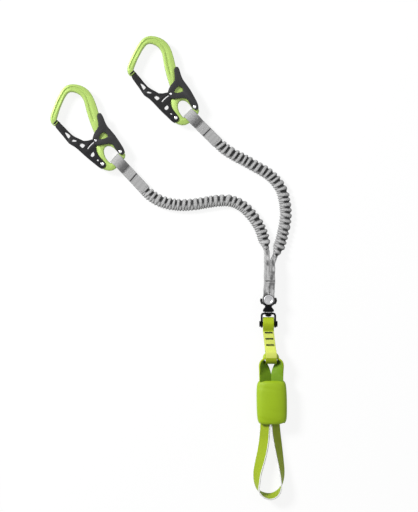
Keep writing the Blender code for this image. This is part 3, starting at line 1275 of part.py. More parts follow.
# ---------------------------------------------------------------- the lanyard
right_frame = carabiner("right", RIGHT_EYE_PIXEL, RIGHT_TURN)
left_frame = carabiner("left", LEFT_EYE_PIXEL, LEFT_TURN)
swivel_x, swivel_y = seen(*SWIVEL_PIXEL)
pouch_x, pouch_y = seen(*POUCH_PIXEL)
swivel_frame = empty("swivel_frame", swivel_x, swivel_y, SWIVEL_HEIGHT)
left_hinge = (swivel_x + TAIL_SPREAD_shares[0] * TAIL_THICKNESS, swivel_y + TAIL_HINGE_PLACE)
right_hinge = (swivel_x + TAIL_SPREAD_shares[1] * TAIL_THICKNESS, swivel_y + TAIL_HINGE_PLACE)
build_arm("right", RIGHT_ARM_PIXELS, right_frame, right_hinge, RIGHT_END_LEAN_share)
build_arm("left", LEFT_ARM_PIXELS, left_frame, left_hinge, LEFT_END_LEAN_share)
build_fork(swivel_frame, (left_hinge, right_hinge))
build_yoke(swivel_frame)
build_arm_pin(swivel_frame)
build_axle(swivel_frame)
build_shackle(swivel_frame)
build_sling(swivel_frame)
build_upper_loop(swivel_frame)
pouch_frame = empty("pouch_frame", pouch_x, pouch_y, POUCH_THICKNESS / 2 + POUCH_LIFT, POUCH_TURN)
build_pouch(pouch_frame)
build_harness_loop()
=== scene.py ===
"""Via ferrata lanyard: carabiners on two elastic arms, a swivel, a pouched absorber and its harness loop."""

import math
from collections import namedtuple

import bpy
from mathutils import Matrix, Vector, noise
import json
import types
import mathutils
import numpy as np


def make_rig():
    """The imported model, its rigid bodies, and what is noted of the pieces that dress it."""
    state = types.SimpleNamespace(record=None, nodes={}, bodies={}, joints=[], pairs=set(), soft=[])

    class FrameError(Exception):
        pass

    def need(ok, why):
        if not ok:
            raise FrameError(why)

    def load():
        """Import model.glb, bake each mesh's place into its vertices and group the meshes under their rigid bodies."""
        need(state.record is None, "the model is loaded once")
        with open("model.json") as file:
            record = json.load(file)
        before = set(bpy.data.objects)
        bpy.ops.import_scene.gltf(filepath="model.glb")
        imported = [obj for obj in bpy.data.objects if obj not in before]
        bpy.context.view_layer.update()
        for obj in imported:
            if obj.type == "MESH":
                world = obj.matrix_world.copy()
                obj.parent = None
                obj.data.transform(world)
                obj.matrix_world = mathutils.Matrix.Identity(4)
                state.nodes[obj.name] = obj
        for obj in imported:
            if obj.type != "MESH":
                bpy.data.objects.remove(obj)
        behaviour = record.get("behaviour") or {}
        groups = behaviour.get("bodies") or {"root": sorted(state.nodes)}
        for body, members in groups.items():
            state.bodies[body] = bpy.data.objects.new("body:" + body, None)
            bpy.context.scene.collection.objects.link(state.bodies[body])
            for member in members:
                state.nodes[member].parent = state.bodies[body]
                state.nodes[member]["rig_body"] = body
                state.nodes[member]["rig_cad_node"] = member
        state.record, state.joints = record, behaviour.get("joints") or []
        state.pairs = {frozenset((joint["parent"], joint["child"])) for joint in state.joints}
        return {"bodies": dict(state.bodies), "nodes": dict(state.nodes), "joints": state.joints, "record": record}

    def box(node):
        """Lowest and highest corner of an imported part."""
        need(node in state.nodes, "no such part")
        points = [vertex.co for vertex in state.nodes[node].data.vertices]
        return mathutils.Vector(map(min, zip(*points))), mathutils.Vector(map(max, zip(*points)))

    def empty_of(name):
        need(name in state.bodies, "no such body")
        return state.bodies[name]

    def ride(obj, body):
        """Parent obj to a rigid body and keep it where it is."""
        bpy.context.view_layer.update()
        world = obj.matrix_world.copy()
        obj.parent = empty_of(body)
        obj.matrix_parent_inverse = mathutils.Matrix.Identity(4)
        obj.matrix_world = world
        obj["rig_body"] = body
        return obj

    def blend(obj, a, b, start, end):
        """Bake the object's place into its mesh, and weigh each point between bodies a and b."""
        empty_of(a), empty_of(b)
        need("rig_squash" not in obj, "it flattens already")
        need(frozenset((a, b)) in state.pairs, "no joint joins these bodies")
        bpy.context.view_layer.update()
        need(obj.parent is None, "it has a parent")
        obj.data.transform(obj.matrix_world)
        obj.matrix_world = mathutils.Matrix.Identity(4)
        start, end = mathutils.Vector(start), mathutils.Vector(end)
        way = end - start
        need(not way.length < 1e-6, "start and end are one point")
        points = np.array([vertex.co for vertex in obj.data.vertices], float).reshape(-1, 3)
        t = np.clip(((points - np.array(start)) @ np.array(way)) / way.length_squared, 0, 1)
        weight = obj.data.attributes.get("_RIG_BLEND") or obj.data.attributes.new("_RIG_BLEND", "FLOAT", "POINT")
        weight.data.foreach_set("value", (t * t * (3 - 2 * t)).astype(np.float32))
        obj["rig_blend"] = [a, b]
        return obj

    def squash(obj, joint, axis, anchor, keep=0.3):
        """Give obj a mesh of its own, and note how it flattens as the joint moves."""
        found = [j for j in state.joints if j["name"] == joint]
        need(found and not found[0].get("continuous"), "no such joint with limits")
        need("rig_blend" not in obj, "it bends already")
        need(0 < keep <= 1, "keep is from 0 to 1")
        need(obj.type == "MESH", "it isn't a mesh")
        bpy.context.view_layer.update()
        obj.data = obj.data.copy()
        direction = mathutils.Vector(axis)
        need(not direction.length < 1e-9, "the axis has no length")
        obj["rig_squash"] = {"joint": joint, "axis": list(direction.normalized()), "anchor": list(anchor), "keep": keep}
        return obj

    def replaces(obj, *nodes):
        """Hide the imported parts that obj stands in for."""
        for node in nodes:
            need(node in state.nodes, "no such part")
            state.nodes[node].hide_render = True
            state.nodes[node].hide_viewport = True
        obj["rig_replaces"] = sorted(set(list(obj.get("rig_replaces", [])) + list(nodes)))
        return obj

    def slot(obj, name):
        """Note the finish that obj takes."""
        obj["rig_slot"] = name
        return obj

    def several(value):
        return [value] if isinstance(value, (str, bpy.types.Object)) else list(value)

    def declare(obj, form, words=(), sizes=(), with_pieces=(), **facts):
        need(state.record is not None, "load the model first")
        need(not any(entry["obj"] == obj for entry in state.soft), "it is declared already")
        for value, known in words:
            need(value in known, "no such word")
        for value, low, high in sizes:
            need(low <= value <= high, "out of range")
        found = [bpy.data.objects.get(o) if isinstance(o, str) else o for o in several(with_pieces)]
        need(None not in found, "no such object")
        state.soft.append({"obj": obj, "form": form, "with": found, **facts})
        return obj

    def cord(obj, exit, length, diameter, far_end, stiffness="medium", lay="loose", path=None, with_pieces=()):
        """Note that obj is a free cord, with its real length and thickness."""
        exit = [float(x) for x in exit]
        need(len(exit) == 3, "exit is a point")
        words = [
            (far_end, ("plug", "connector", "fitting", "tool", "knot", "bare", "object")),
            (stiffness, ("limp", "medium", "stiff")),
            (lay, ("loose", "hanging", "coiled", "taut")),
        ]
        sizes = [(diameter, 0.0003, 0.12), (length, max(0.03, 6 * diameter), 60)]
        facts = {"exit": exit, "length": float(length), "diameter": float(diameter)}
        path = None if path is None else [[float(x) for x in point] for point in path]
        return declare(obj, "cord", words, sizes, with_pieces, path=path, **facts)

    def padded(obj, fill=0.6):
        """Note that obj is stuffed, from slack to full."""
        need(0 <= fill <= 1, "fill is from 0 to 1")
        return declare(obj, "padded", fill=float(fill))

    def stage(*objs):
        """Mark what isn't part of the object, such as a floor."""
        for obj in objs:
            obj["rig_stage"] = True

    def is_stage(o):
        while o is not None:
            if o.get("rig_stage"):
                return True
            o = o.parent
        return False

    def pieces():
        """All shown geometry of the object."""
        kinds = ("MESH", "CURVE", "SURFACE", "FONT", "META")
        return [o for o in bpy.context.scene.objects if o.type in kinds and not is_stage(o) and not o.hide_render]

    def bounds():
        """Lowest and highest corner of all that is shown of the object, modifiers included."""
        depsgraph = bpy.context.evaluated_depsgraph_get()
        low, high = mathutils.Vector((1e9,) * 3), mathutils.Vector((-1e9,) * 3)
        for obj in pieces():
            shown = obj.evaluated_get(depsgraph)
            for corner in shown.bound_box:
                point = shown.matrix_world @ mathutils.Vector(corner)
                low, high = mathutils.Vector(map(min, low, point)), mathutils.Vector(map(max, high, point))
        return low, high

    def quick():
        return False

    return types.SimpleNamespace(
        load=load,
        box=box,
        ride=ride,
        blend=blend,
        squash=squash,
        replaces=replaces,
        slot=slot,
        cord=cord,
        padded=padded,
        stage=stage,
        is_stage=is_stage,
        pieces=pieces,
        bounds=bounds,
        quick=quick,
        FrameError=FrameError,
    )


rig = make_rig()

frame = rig.load()
cad_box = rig.bounds()
nodes = frame["nodes"]
bpy.ops.object.select_all(action="DESELECT")

# Table, light and camera
# The lanyard lies on plain white paper under a large soft lamp at the upper left.
# The camera looks straight down from above, at the middle of the picture.
PIXEL = 0.00143
PICTURE_HEIGHT = 512
SENSOR_WIDTH = 36
VIEW_CENTRE = (0.0575, 0.0169)
VIEW_HEIGHT = 2.2
MIDDLE_HEIGHT = 0.009
PAPER_WHITE = (0.93, 0.93, 0.93)
PAPER_SIZE = 8
PAPER_HEIGHT = -0.0002
PAPER_GLOW = 1.02
PAPER_GLOW_SHARE = 0.86
ROOM_LIGHT = 0.20
ROOM_SEEN = 0.80
# Each lamp's name, its place from the middle of the view, its size and its power.
LAMPS = (
    ("key_lamp", (-1.75, 1.15, 1.75), 0.7, 84),
    ("fill_lamp", (1.2, 0.6, 2.4), 1.6, 9),
)


def add_node(tree, kind, sockets=None, **settings):
    """A shader node with its settings, and its inputs as numbers or as another node's output."""
    made = tree.nodes.new(kind)
    for name, value in settings.items():
        setattr(made, name, value)
    for name, value in (sockets or {}).items():
        if isinstance(value, bpy.types.NodeSocket):
            tree.links.new(value, made.inputs[name])
        else:
            made.inputs[name].default_value = value
    return made


def calc(tree, operation, first, second=0.0, third=0.0):
    """The output of one step of arithmetic."""
    sockets = {0: first, 1: second, 2: third}
    return add_node(tree, "ShaderNodeMath", sockets, operation=operation).outputs[0]


def seen_directly(tree):
    """1 for rays from the camera and through gloss or glass, 0 for light."""
    path = add_node(tree, "ShaderNodeLightPath")
    gloss = calc(tree, "MAXIMUM", path.outputs["Is Camera Ray"], path.outputs["Is Glossy Ray"])
    return calc(tree, "MAXIMUM", gloss, path.outputs["Is Transmission Ray"])


def lay_paper():
    """White paper that keeps the shadows, and glows a little where it is seen."""
    bpy.ops.mesh.primitive_plane_add(size=PAPER_SIZE, location=(VIEW_CENTRE[0], VIEW_CENTRE[1], PAPER_HEIGHT))
    paper = bpy.context.active_object
    paper.name = "paper"
    look = bpy.data.materials.new("white_paper")
    look.use_nodes = True
    tree = look.node_tree
    tree.nodes.clear()
    matte = add_node(tree, "ShaderNodeBsdfDiffuse", {"Color": (*PAPER_WHITE, 1)})
    glow = add_node(tree, "ShaderNodeEmission", {"Color": (1, 1, 1, 1), "Strength": PAPER_GLOW})
    share = calc(tree, "MULTIPLY", seen_directly(tree), PAPER_GLOW_SHARE)
    mixed = add_node(tree, "ShaderNodeMixShader", {0: share, 1: matte.outputs[0], 2: glow.outputs[0]})
    end = add_node(tree, "ShaderNodeOutputMaterial")
    tree.links.new(mixed.outputs[0], end.inputs["Surface"])
    paper.data.materials.append(look)
    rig.stage(paper)


def light_room():
    """A dim white room that looks bright to the camera, with its lamps turned to the object."""
    world = bpy.data.worlds.new("room")
    bpy.context.scene.world = world
    world.use_nodes = True
    tree = world.node_tree
    tree.nodes.clear()
    strength = calc(tree, "MULTIPLY_ADD", seen_directly(tree), ROOM_SEEN, ROOM_LIGHT)
    glow = add_node(tree, "ShaderNodeBackground", {"Color": (1, 1, 1, 1), "Strength": strength})
    end = add_node(tree, "ShaderNodeOutputWorld")
    tree.links.new(glow.outputs[0], end.inputs["Surface"])
    for name, place, size, power in LAMPS:
        data = bpy.data.lights.new(name, "AREA")
        data.shape = "SQUARE"
        data.size = size
        data.energy = power
        lamp = bpy.data.objects.new(name, data)
        bpy.context.scene.collection.objects.link(lamp)
        lamp.location = (VIEW_CENTRE[0] + place[0], VIEW_CENTRE[1] + place[1], place[2])
        way = Vector((VIEW_CENTRE[0], VIEW_CENTRE[1], 0)) - lamp.location
        lamp.rotation_euler = way.to_track_quat("-Z", "Y").to_euler()


def set_camera():
    """A camera whose picture has the photograph's scale at the object's middle height."""
    data = bpy.data.cameras.new("camera")
    data.sensor_width = SENSOR_WIDTH
    data.lens = SENSOR_WIDTH * (VIEW_HEIGHT - MIDDLE_HEIGHT) / (PICTURE_HEIGHT * PIXEL)
    data.clip_end = 20
    camera = bpy.data.objects.new("camera", data)
    bpy.context.scene.collection.objects.link(camera)
    camera.location = (*VIEW_CENTRE, VIEW_HEIGHT)
    bpy.context.scene.camera = camera


lay_paper()
light_room()
set_camera()
bpy.context.scene.view_settings.view_transform = "Standard"

# Elastic arms
# Tubular grey webbing gathered into pleats over a rubber core, which lets each arm stretch.
# The arms lie loose on the table and turn on edge where they meet the swivel's fork.
# Their lines are the sleeves' middles, from the carabiners down to the fork.
RIGHT_ARM_LINE = [
    (0.0696, 0.1794), (0.0797, 0.1705), (0.0932, 0.1619), (0.1090, 0.1537), (0.1233, 0.1456),
    (0.1383, 0.1371), (0.1490, 0.1285), (0.1570, 0.1190), (0.1619, 0.1099), (0.1647, 0.0999),
    (0.1667, 0.0884), (0.1673, 0.0770), (0.1662, 0.0641), (0.1636, 0.0513), (0.1604, 0.0384),
    (0.1562, 0.0262), (0.1516, 0.0161),
]
LEFT_ARM_LINE = [
    (-0.0346, 0.1109), (-0.0240, 0.1025), (-0.0126, 0.0959), (0.0017, 0.0916), (0.0174, 0.0899),
    (0.0346, 0.0907), (0.0518, 0.0933), (0.0689, 0.0959), (0.0847, 0.0962), (0.0975, 0.0927),
    (0.1090, 0.0853), (0.1175, 0.0764), (0.1247, 0.0670), (0.1304, 0.0570), (0.1347, 0.0455),
    (0.1379, 0.0341), (0.1396, 0.0250),
]
SLEEVE_RADIUS = 0.0090
SLEEVE_FLATNESS = 0.60
SLEEVE_NARROW_END = 0.46
SLEEVE_TURN_LENGTH = 0.016
SLEEVE_LIFT = 0.0004
SLEEVE_WALL = 0.0005
SLEEVE_SIDES = 56
PLEAT_PITCH = 0.0077
PLEAT_DEPTH = 0.42
PLEAT_STATIONS = 16
PLEATS_SHUT_AT = {"right": 0.78, "left": 0.42}
FOLD_SHADE = "fold_depth"
CORE_SHARE = 0.42
CORE_WALL = 0.0008
CORE_STATIONS = 80
TAIL_WIDTH = 0.0146
GREY_YARN = (0.50, 0.50, 0.50)
FLAT_GREY = (0.41, 0.41, 0.41)
DARK_YARN = (0.06, 0.06, 0.063)


def eased(share):
    """A share from 0 to 1 with a soft start and a soft end."""
    share = min(1, max(0, share))
    return share * share * (3 - 2 * share)


def scatter(number):
    """A fixed uneven value from 0 to 1 for each whole number."""
    return math.modf(abs(math.sin(number * 12.9898) * 43758.5453))[0]


def smooth_line(points, steps):
    """A smooth curve through the points, with steps points for each stretch."""
    points = [Vector(point) for point in points]
    line = []
    for index in range(len(points) - 1):
        a = points[max(index - 1, 0)]
        b = points[index]
        c = points[index + 1]
        d = points[min(index + 2, len(points) - 1)]
        for step in range(steps):
            t = step / steps
            straight = 2 * b + (c - a) * t
            bent = (2 * a - 5 * b + 4 * c - d) * t**2
            twisted = (3 * b - a - 3 * c + d) * t**3
            line.append(0.5 * (straight + bent + twisted))
    line.append(points[-1])
    return line


def distances(line):
    """How far each point lies along the line."""
    found = [0]
    for one, two in zip(line, line[1:]):
        found.append(found[-1] + (two - one).length)
    return found


def even_line(line, count):
    """The same line with count equal stretches."""
    along = distances(line)
    found = []
    index = 0
    for number in range(count + 1):
        wanted = along[-1] * number / count
        while index < len(along) - 2 and along[index + 1] < wanted:
            index += 1
        span = along[index + 1] - along[index]
        found.append(line[index].lerp(line[index + 1], (wanted - along[index]) / span if span else 0))
    return found


def ahead_at(line, index):
    """The line's direction at one of its points."""
    return (line[min(index + 1, len(line) - 1)] - line[max(index - 1, 0)]).normalized()


def laid_grid(name, along, across, place, length, width):
    """A grid bent into place, whose UV map is metres along it and metres across it."""
    bpy.ops.object.select_all(action="DESELECT")
    bpy.ops.mesh.primitive_grid_add(x_subdivisions=along, y_subdivisions=across, size=1)
    obj = bpy.context.active_object
    obj.name = name
    obj.data.name = name
    for vertex in obj.data.vertices:
        vertex.co = place(vertex.co.x + 0.5, vertex.co.y + 0.5)
    for corner in obj.data.uv_layers[0].data:
        corner.uv = (corner.uv[0] * length, (corner.uv[1] - 0.5) * width)
    return obj


def in_edit_mode(obj, work):
    """Runs edit-mode operators on the whole of one piece."""
    bpy.ops.object.select_all(action="DESELECT")
    obj.select_set(True)
    bpy.context.view_layer.objects.active = obj
    bpy.ops.object.mode_set(mode="EDIT")
    bpy.ops.mesh.select_all(action="SELECT")
    work()
    bpy.ops.object.mode_set(mode="OBJECT")


def modified(obj, kind, **settings):
    """Adds a modifier and applies it at once."""
    bpy.ops.object.select_all(action="DESELECT")
    obj.select_set(True)
    bpy.context.view_layer.objects.active = obj
    made = obj.modifiers.new(kind.title(), kind)
    for name, value in settings.items():
        setattr(made, name, value)
    bpy.ops.object.modifier_apply(modifier=made.name)


def smoothed(obj, degrees):
    """Smooth shading, except over edges that are sharper than the angle."""
    bpy.ops.object.select_all(action="DESELECT")
    obj.select_set(True)
    bpy.context.view_layer.objects.active = obj
    bpy.ops.object.shade_smooth_by_angle(angle=math.radians(degrees))
    return obj


def dressed(obj, look, body, slot):
    """Gives a finished piece its material, unless its two faces have their own, its body and its slot."""
    if len(obj.data.materials) < 2:
        obj.data.materials.clear()
        obj.data.materials.append(look)
    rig.ride(obj, body)
    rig.slot(obj, slot)


def noise_value(tree, place, scale, detail, **inputs):
    """The value of a noise texture at a place."""
    given = {"Vector": place, "Scale": scale, "Detail": detail, **inputs}
    return add_node(tree, "ShaderNodeTexNoise", given).outputs[0]


def between_colours(tree, share, first, second):
    """A colour that goes from the first to the second as the share goes from 0 to 1."""
    return add_node(tree, "ShaderNodeMix", {0: share, 6: first, 7: second}, data_type="RGBA").outputs[2]


def add_bump(tree, shader, height, depth, strength):
    """Gives a shader a bump, as deep as depth for each 1 of height."""
    bump = add_node(tree, "ShaderNodeBump", {"Height": height, "Distance": depth, "Strength": strength})
    tree.links.new(bump.outputs[0], shader.inputs["Normal"])


def effect_group(name, inputs, outputs):
    """A shared effect with named inputs, at their usual values, and named outputs."""
    tree = bpy.data.node_groups.new(name, "ShaderNodeTree")
    for label, value in inputs.items():
        tree.interface.new_socket(label, in_out="INPUT", socket_type="NodeSocketFloat").default_value = value
    for label in outputs:
        tree.interface.new_socket(label, in_out="OUTPUT", socket_type="NodeSocketFloat")
    return tree, add_node(tree, "NodeGroupInput"), add_node(tree, "NodeGroupOutput")


def woven_effect():
    """Plain weave from the UV map's metres: ribs across the band, warp yarns along it, and painted shade in its low
    places.
    """
    usual = {"Rib": 0.0012, "Yarn": 0.0008, "Stagger": 0.5, "Fuzz": 0.3, "Shade": 0.35}
    tree, given, result = effect_group("webbing_weave", usual, ["Height", "Tone"])
    place = add_node(tree, "ShaderNodeUVMap")
    split = add_node(tree, "ShaderNodeSeparateXYZ", {0: place.outputs[0]})
    along = calc(tree, "DIVIDE", split.outputs[0], given.outputs["Rib"])
    across = calc(tree, "DIVIDE", split.outputs[1], given.outputs["Yarn"])
    odd_row = calc(tree, "MODULO", calc(tree, "FLOOR", calc(tree, "ADD", across, 4000)), 2)
    row = calc(tree, "MULTIPLY", odd_row, given.outputs["Stagger"])
    over = calc(tree, "SINE", calc(tree, "MULTIPLY", calc(tree, "ADD", along, row), 2 * math.pi))
    round_yarn = calc(tree, "ABSOLUTE", calc(tree, "SINE", calc(tree, "MULTIPLY", across, math.pi)))
    weave = calc(
        tree, "MULTIPLY", calc(tree, "MULTIPLY_ADD", over, 0.35, 0.65), calc(tree, "POWER", round_yarn, 0.5)
    )
    stretched = add_node(tree, "ShaderNodeMapping", {"Vector": place.outputs[0], "Scale": (900, 2600, 1)})
    fibre = noise_value(tree, stretched.outputs[0], 1, 3, Roughness=0.6)
    fuzz = calc(tree, "MULTIPLY", calc(tree, "SUBTRACT", fibre, 0.5), given.outputs["Fuzz"])
    height = calc(tree, "ADD", weave, fuzz)
    tree.links.new(height, result.inputs["Height"])
    # The tone is painted shade: darker where the weave lies low.
    lowest = calc(tree, "SUBTRACT", 1.1, given.outputs["Shade"])
    tree.links.new(calc(tree, "MULTIPLY_ADD", height, given.outputs["Shade"], lowest), result.inputs["Tone"])
    return tree


def uneven_effect():
    """Slow light and dark patches, as in dyed cloth or handled metal."""
    tree, given, result = effect_group("uneven_tone", {"Size": 0.02, "Amount": 0.1}, ["Tone"])
    place = add_node(tree, "ShaderNodeTexCoord")
    scale = calc(tree, "DIVIDE", 1.0, given.outputs["Size"])
    patches = noise_value(tree, place.outputs["Object"], scale, 4, Roughness=0.55)
    middled = calc(tree, "SUBTRACT", patches, 0.5)
    swing = calc(tree, "MULTIPLY", middled, calc(tree, "MULTIPLY", given.outputs["Amount"], 2))
    tree.links.new(calc(tree, "ADD", swing, 1.0), result.inputs["Tone"])
    return tree


WEAVE = woven_effect()
UNEVEN = uneven_effect()


def toned(tree, colour, *tones):
    """A colour, or another node's colour, times each tone."""
    made = colour
    for tone in tones:
        grey = add_node(tree, "ShaderNodeCombineXYZ", {0: tone, 1: tone, 2: tone})
        times = add_node(tree, "ShaderNodeVectorMath", {0: made, 1: grey.outputs[0]}, operation="MULTIPLY")
        made = times.outputs[0]
    return made


def plain_material(name, roughness, metallic=0.0, sheen=0.0, specular=0.5):
    """A material with its plain sockets set, its nodes and its shader."""
    made = bpy.data.materials.new(name)
    made.use_nodes = True
    shader = made.node_tree.nodes["Principled BSDF"]
    shader.inputs["Roughness"].default_value = roughness
    shader.inputs["Metallic"].default_value = metallic
    shader.inputs["Sheen Weight"].default_value = sheen
    shader.inputs["Specular IOR Level"].default_value = specular
    return made, made.node_tree, shader


def group_node(tree, group, **values):
    """A shared effect placed in one material, with its values there."""
    made = add_node(tree, "ShaderNodeGroup", node_tree=group)
    for name, value in values.items():
        made.inputs[name].default_value = value
    return made


def cloth_material(
    name, colour, rib=0.0012, yarn=0.0008, stagger=0.5, depth=0.0002, edge=None, hollow=None, tone=0.35
):
    """Woven cloth, with the weave's painted shade between its yarns. edge is (half width, selvedge width, its colour);
    hollow is the colour of painted shade deep in folds.
    """
    made, tree, shader = plain_material(name, roughness=0.62, sheen=0.07, specular=0.3)
    weave = group_node(tree, WEAVE, Rib=rib, Yarn=yarn, Stagger=stagger, Shade=tone)
    slow = group_node(tree, UNEVEN, Size=0.018, Amount=0.06)
    base = add_node(tree, "ShaderNodeRGB")
    base.outputs[0].default_value = (*colour, 1)
    shown = toned(tree, base.outputs[0], weave.outputs["Tone"], slow.outputs["Tone"])
    height = weave.outputs["Height"]
    if edge:
        half, selvedge, edge_colour = edge
        split = add_node(tree, "ShaderNodeSeparateXYZ", {0: add_node(tree, "ShaderNodeUVMap").outputs[0]})
        beyond = calc(tree, "GREATER_THAN", calc(tree, "ABSOLUTE", split.outputs[1]), half - selvedge)
        shown = between_colours(tree, beyond, shown, (*edge_colour, 1))
        height = calc(tree, "MULTIPLY", height, calc(tree, "MULTIPLY_ADD", beyond, -0.75, 1.0))
    # Painted shade: the hollow colour where the fold-shade attribute is high.
    if hollow:
        fold = add_node(tree, "ShaderNodeAttribute", attribute_name=FOLD_SHADE)
        shown = between_colours(tree, fold.outputs["Fac"], shown, (*hollow, 1))
    tree.links.new(shown, shader.inputs["Base Color"])
    add_bump(tree, shader, height, depth, 0.8)
    return made


def turned_upright(share, length):
    """0 where the sleeve lies flat, and up to 1 at its end that stands on edge."""
    return eased((share * length - (length - SLEEVE_TURN_LENGTH)) / SLEEVE_TURN_LENGTH)


def sleeve_section(share, length):
    """Half width, half height and middle height of the sleeve at a share of its length."""
    turn = turned_upright(share, length)
    mouth = 0.90 + 0.10 * eased(share * length / PLEAT_PITCH)
    upright = TAIL_WIDTH / 2 / (SLEEVE_RADIUS * SLEEVE_NARROW_END) * 1.06
    factor = SLEEVE_FLATNESS + (upright - SLEEVE_FLATNESS) * turn
    half = SLEEVE_RADIUS * (mouth + (SLEEVE_NARROW_END - 1) * turn)
    narrowed = SLEEVE_RADIUS * (1 + (SLEEVE_NARROW_END - 1) * turn)
    return half, half * factor, narrowed * factor + SLEEVE_LIFT


def pleat_hollow(phase, side_way, tilt, forks_at):
    """How far a place lies in the hollow between two pleats, which forks on the sleeve's right side."""
    fork = 0.25 * eased((forks_at - side_way) / 0.75)
    reach = 0.37 - 0.16 * eased((forks_at - side_way) / 0.6)
    found = 0
    for place in (0.5 + tilt * side_way - fork, 0.5 + tilt * side_way + fork):
        away = abs((phase - place + 0.5) % 1 - 0.5)
        found = max(found, 1 - eased(away / reach))
    return found


def pleated_sleeve(side, points, look):
    """The gathered sleeve, pleat by pleat, with its wall turned in at both ends and painted shade in the hollows
    between the pleats.
    """
    smooth = smooth_line([(x, y, 0) for x, y in points], 12)
    length = distances(smooth)[-1]
    pleats = round(length / (PLEAT_PITCH / 2)) / 2
    stations = round(pleats * PLEAT_STATIONS)
    line = even_line(smooth, stations)
    pleat_shades = {}

    def place(u, v):
        index = round(u * stations)
        around = 2 * math.pi * v
        ahead = ahead_at(line, index)
        beside = Vector((ahead.y, -ahead.x, 0))
        half, tall, height = sleeve_section(u, length)
        turned = turned_upright(u, length)
        # The pleats are a little unequal and fork on the right side.
        # They are pressed shut round one place of each arm.
        phase = u * pleats + 0.10 * math.sin(u * 29) + 0.05 * math.sin(u * 83)
        pleat = math.floor(phase)
        side_way = -math.cos(around)
        open_way = 0.62 + 0.38 * eased(abs(u - PLEATS_SHUT_AT[side]) / 0.3)
        forks_at = 0.10 if side == "left" else -0.45 + 0.55 * eased((u - 0.40) / 0.25)
        past_fork = eased((side_way - forks_at + 0.42) / 0.46)
        deep = past_fork * (1 - 0.5 * eased((side_way - 0.55) / 0.45)) * open_way
        hollow = pleat_hollow(phase, side_way, 0.10 + 0.07 * math.sin(u * 47), forks_at)
        uneven = scatter(pleat) + (scatter(pleat + 1) - scatter(pleat)) * eased(phase - pleat)
        depth = PLEAT_DEPTH * (0.34 + 0.66 * deep) * (0.85 + 0.3 * uneven) * (1 - 0.35 * turned)
        share = 0.965 - depth * hollow
        # Crumpled webbing between the pleats, smoother where it stands on edge.
        spot = line[index] + (beside * math.cos(around) + Vector((0, 0, math.sin(around)))) * SLEEVE_RADIUS
        share += (0.045 * noise.noise(spot * 420) + 0.028 * noise.noise(spot * 1000)) * (1 - 0.8 * turned)
        share = min(share, 1)
        spot = line[index] + beside * (math.cos(around) * half * share)
        spot.z = height + math.sin(around) * tall * share
        # Painted shade: how dark each point is painted in the hollows between the pleats.
        pleat_shades[(index, round(v * SLEEVE_SIDES))] = min(1, 1.7 * hollow**0.9 * (0.30 + 0.70 * deep))
        return spot

    sleeve = laid_grid(side + "_pleated_sleeve", stations, SLEEVE_SIDES, place, length, 0.05)
    fold = sleeve.data.attributes.new(FOLD_SHADE, "FLOAT", "POINT")
    # The grid's points run along the sleeve first, and then round it.
    ordered = [pleat_shades[key] for key in sorted(pleat_shades, key=lambda key: (key[1], key[0]))]
    fold.data.foreach_set("value", ordered)
    in_edit_mode(sleeve, lambda: bpy.ops.mesh.remove_doubles(threshold=0.00002))
    modified(sleeve, "SOLIDIFY", thickness=SLEEVE_WALL, offset=-1)
    smoothed(sleeve, 60)
    dressed(sleeve, look, side + "_arm", "grey_webbing")
    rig.replaces(sleeve, side + "_arm_sleeve")
    centres = [Vector((p.x, p.y, sleeve_section(i / stations, length)[2])) for i, p in enumerate(line)]
    return sleeve, centres, length


def elastic_core(side, centres, length, look):
    """The rubber core inside the sleeve, round where the sleeve lies and flat where it stands."""
    line = even_line(centres, CORE_STATIONS)[1:-1]

    def place(u, v):
        index = round(u * (len(line) - 1))
        around = 2 * math.pi * v
        ahead = ahead_at(line, index)
        beside = Vector((ahead.y, -ahead.x, 0)).normalized()
        half, tall, height = sleeve_section((index + 1) / CORE_STATIONS, length)
        braid = 1 + 0.02 * math.sin(8 * around)
        spot = line[index] + beside * (math.cos(around) * half * CORE_SHARE * braid)
        spot.z = height + math.sin(around) * tall * CORE_SHARE * braid
        return spot

    core = laid_grid(side + "_rubber_core", len(line) - 1, 24, place, length, 0.03)
    in_edit_mode(core, lambda: bpy.ops.mesh.remove_doubles(threshold=0.00002))
    modified(core, "SOLIDIFY", thickness=CORE_WALL, offset=-1)
    smoothed(core, 60)
    dressed(core, look, side + "_arm", "elastic_white")
    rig.replaces(core, side + "_arm_core")
    return core


# The sleeve's near-black hollow colour is painted shade between the pleats.
GREY_SLEEVE = cloth_material(
    "grey_pleated_webbing", GREY_YARN, rib=0.0009, yarn=0.0009, hollow=(0.022, 0.022, 0.023)
)
RUBBER_BRAID = cloth_material("white_rubber_braid", (0.70, 0.70, 0.68), rib=0.0015, yarn=0.0012)
# pieces are what the arm's cord carries; they are added from here to the swivel.
Arm = namedtuple("Arm", "sleeve centres length pieces")
arms = {}
for side, points in (("right", RIGHT_ARM_LINE), ("left", LEFT_ARM_LINE)):
    sleeve, centres, length = pleated_sleeve(side, points, GREY_SLEEVE)
    core = elastic_core(side, centres, length, RUBBER_BRAID)
    arms[side] = Arm(sleeve, centres, length, [core])

# Arm webbing
# Each arm starts as a flat loop round its carabiner's eye bar, closed by a dark bar tack.
# At the other end it stands on edge and runs down to the fork that both arms share.
EYE_BAR_REACH = 0.00572
# Each eye's middle, its turn in degrees, and how far its webbing strays for each metre down.
EYES = {
    "right": ((0.032461, 0.216287, 0.0099), 45.0, 0.0),
    "left": ((-0.072215, 0.152223, 0.0099), 49.5, 0.115),
}
END_WIDTH = 0.0160
END_PLY = 0.0026
END_HALF_GAP = 0.00155
END_SLOPE = 0.0145
END_TACK_WIDTH = 0.0140
END_TACK_PLACE = -0.0316
HINGES = {"right": (0.147577, 0.001241), "left": (0.140233, 0.001241)}
SWIVEL = (0.142285, -0.045259, 0.0131)
FORK_PLY = 0.0042
FORK_OFFSET = 0.0019
FORK_CRUMPLE = 0.0007
FORK_TOP = 0.0432
FORK_BEND = 0.0062
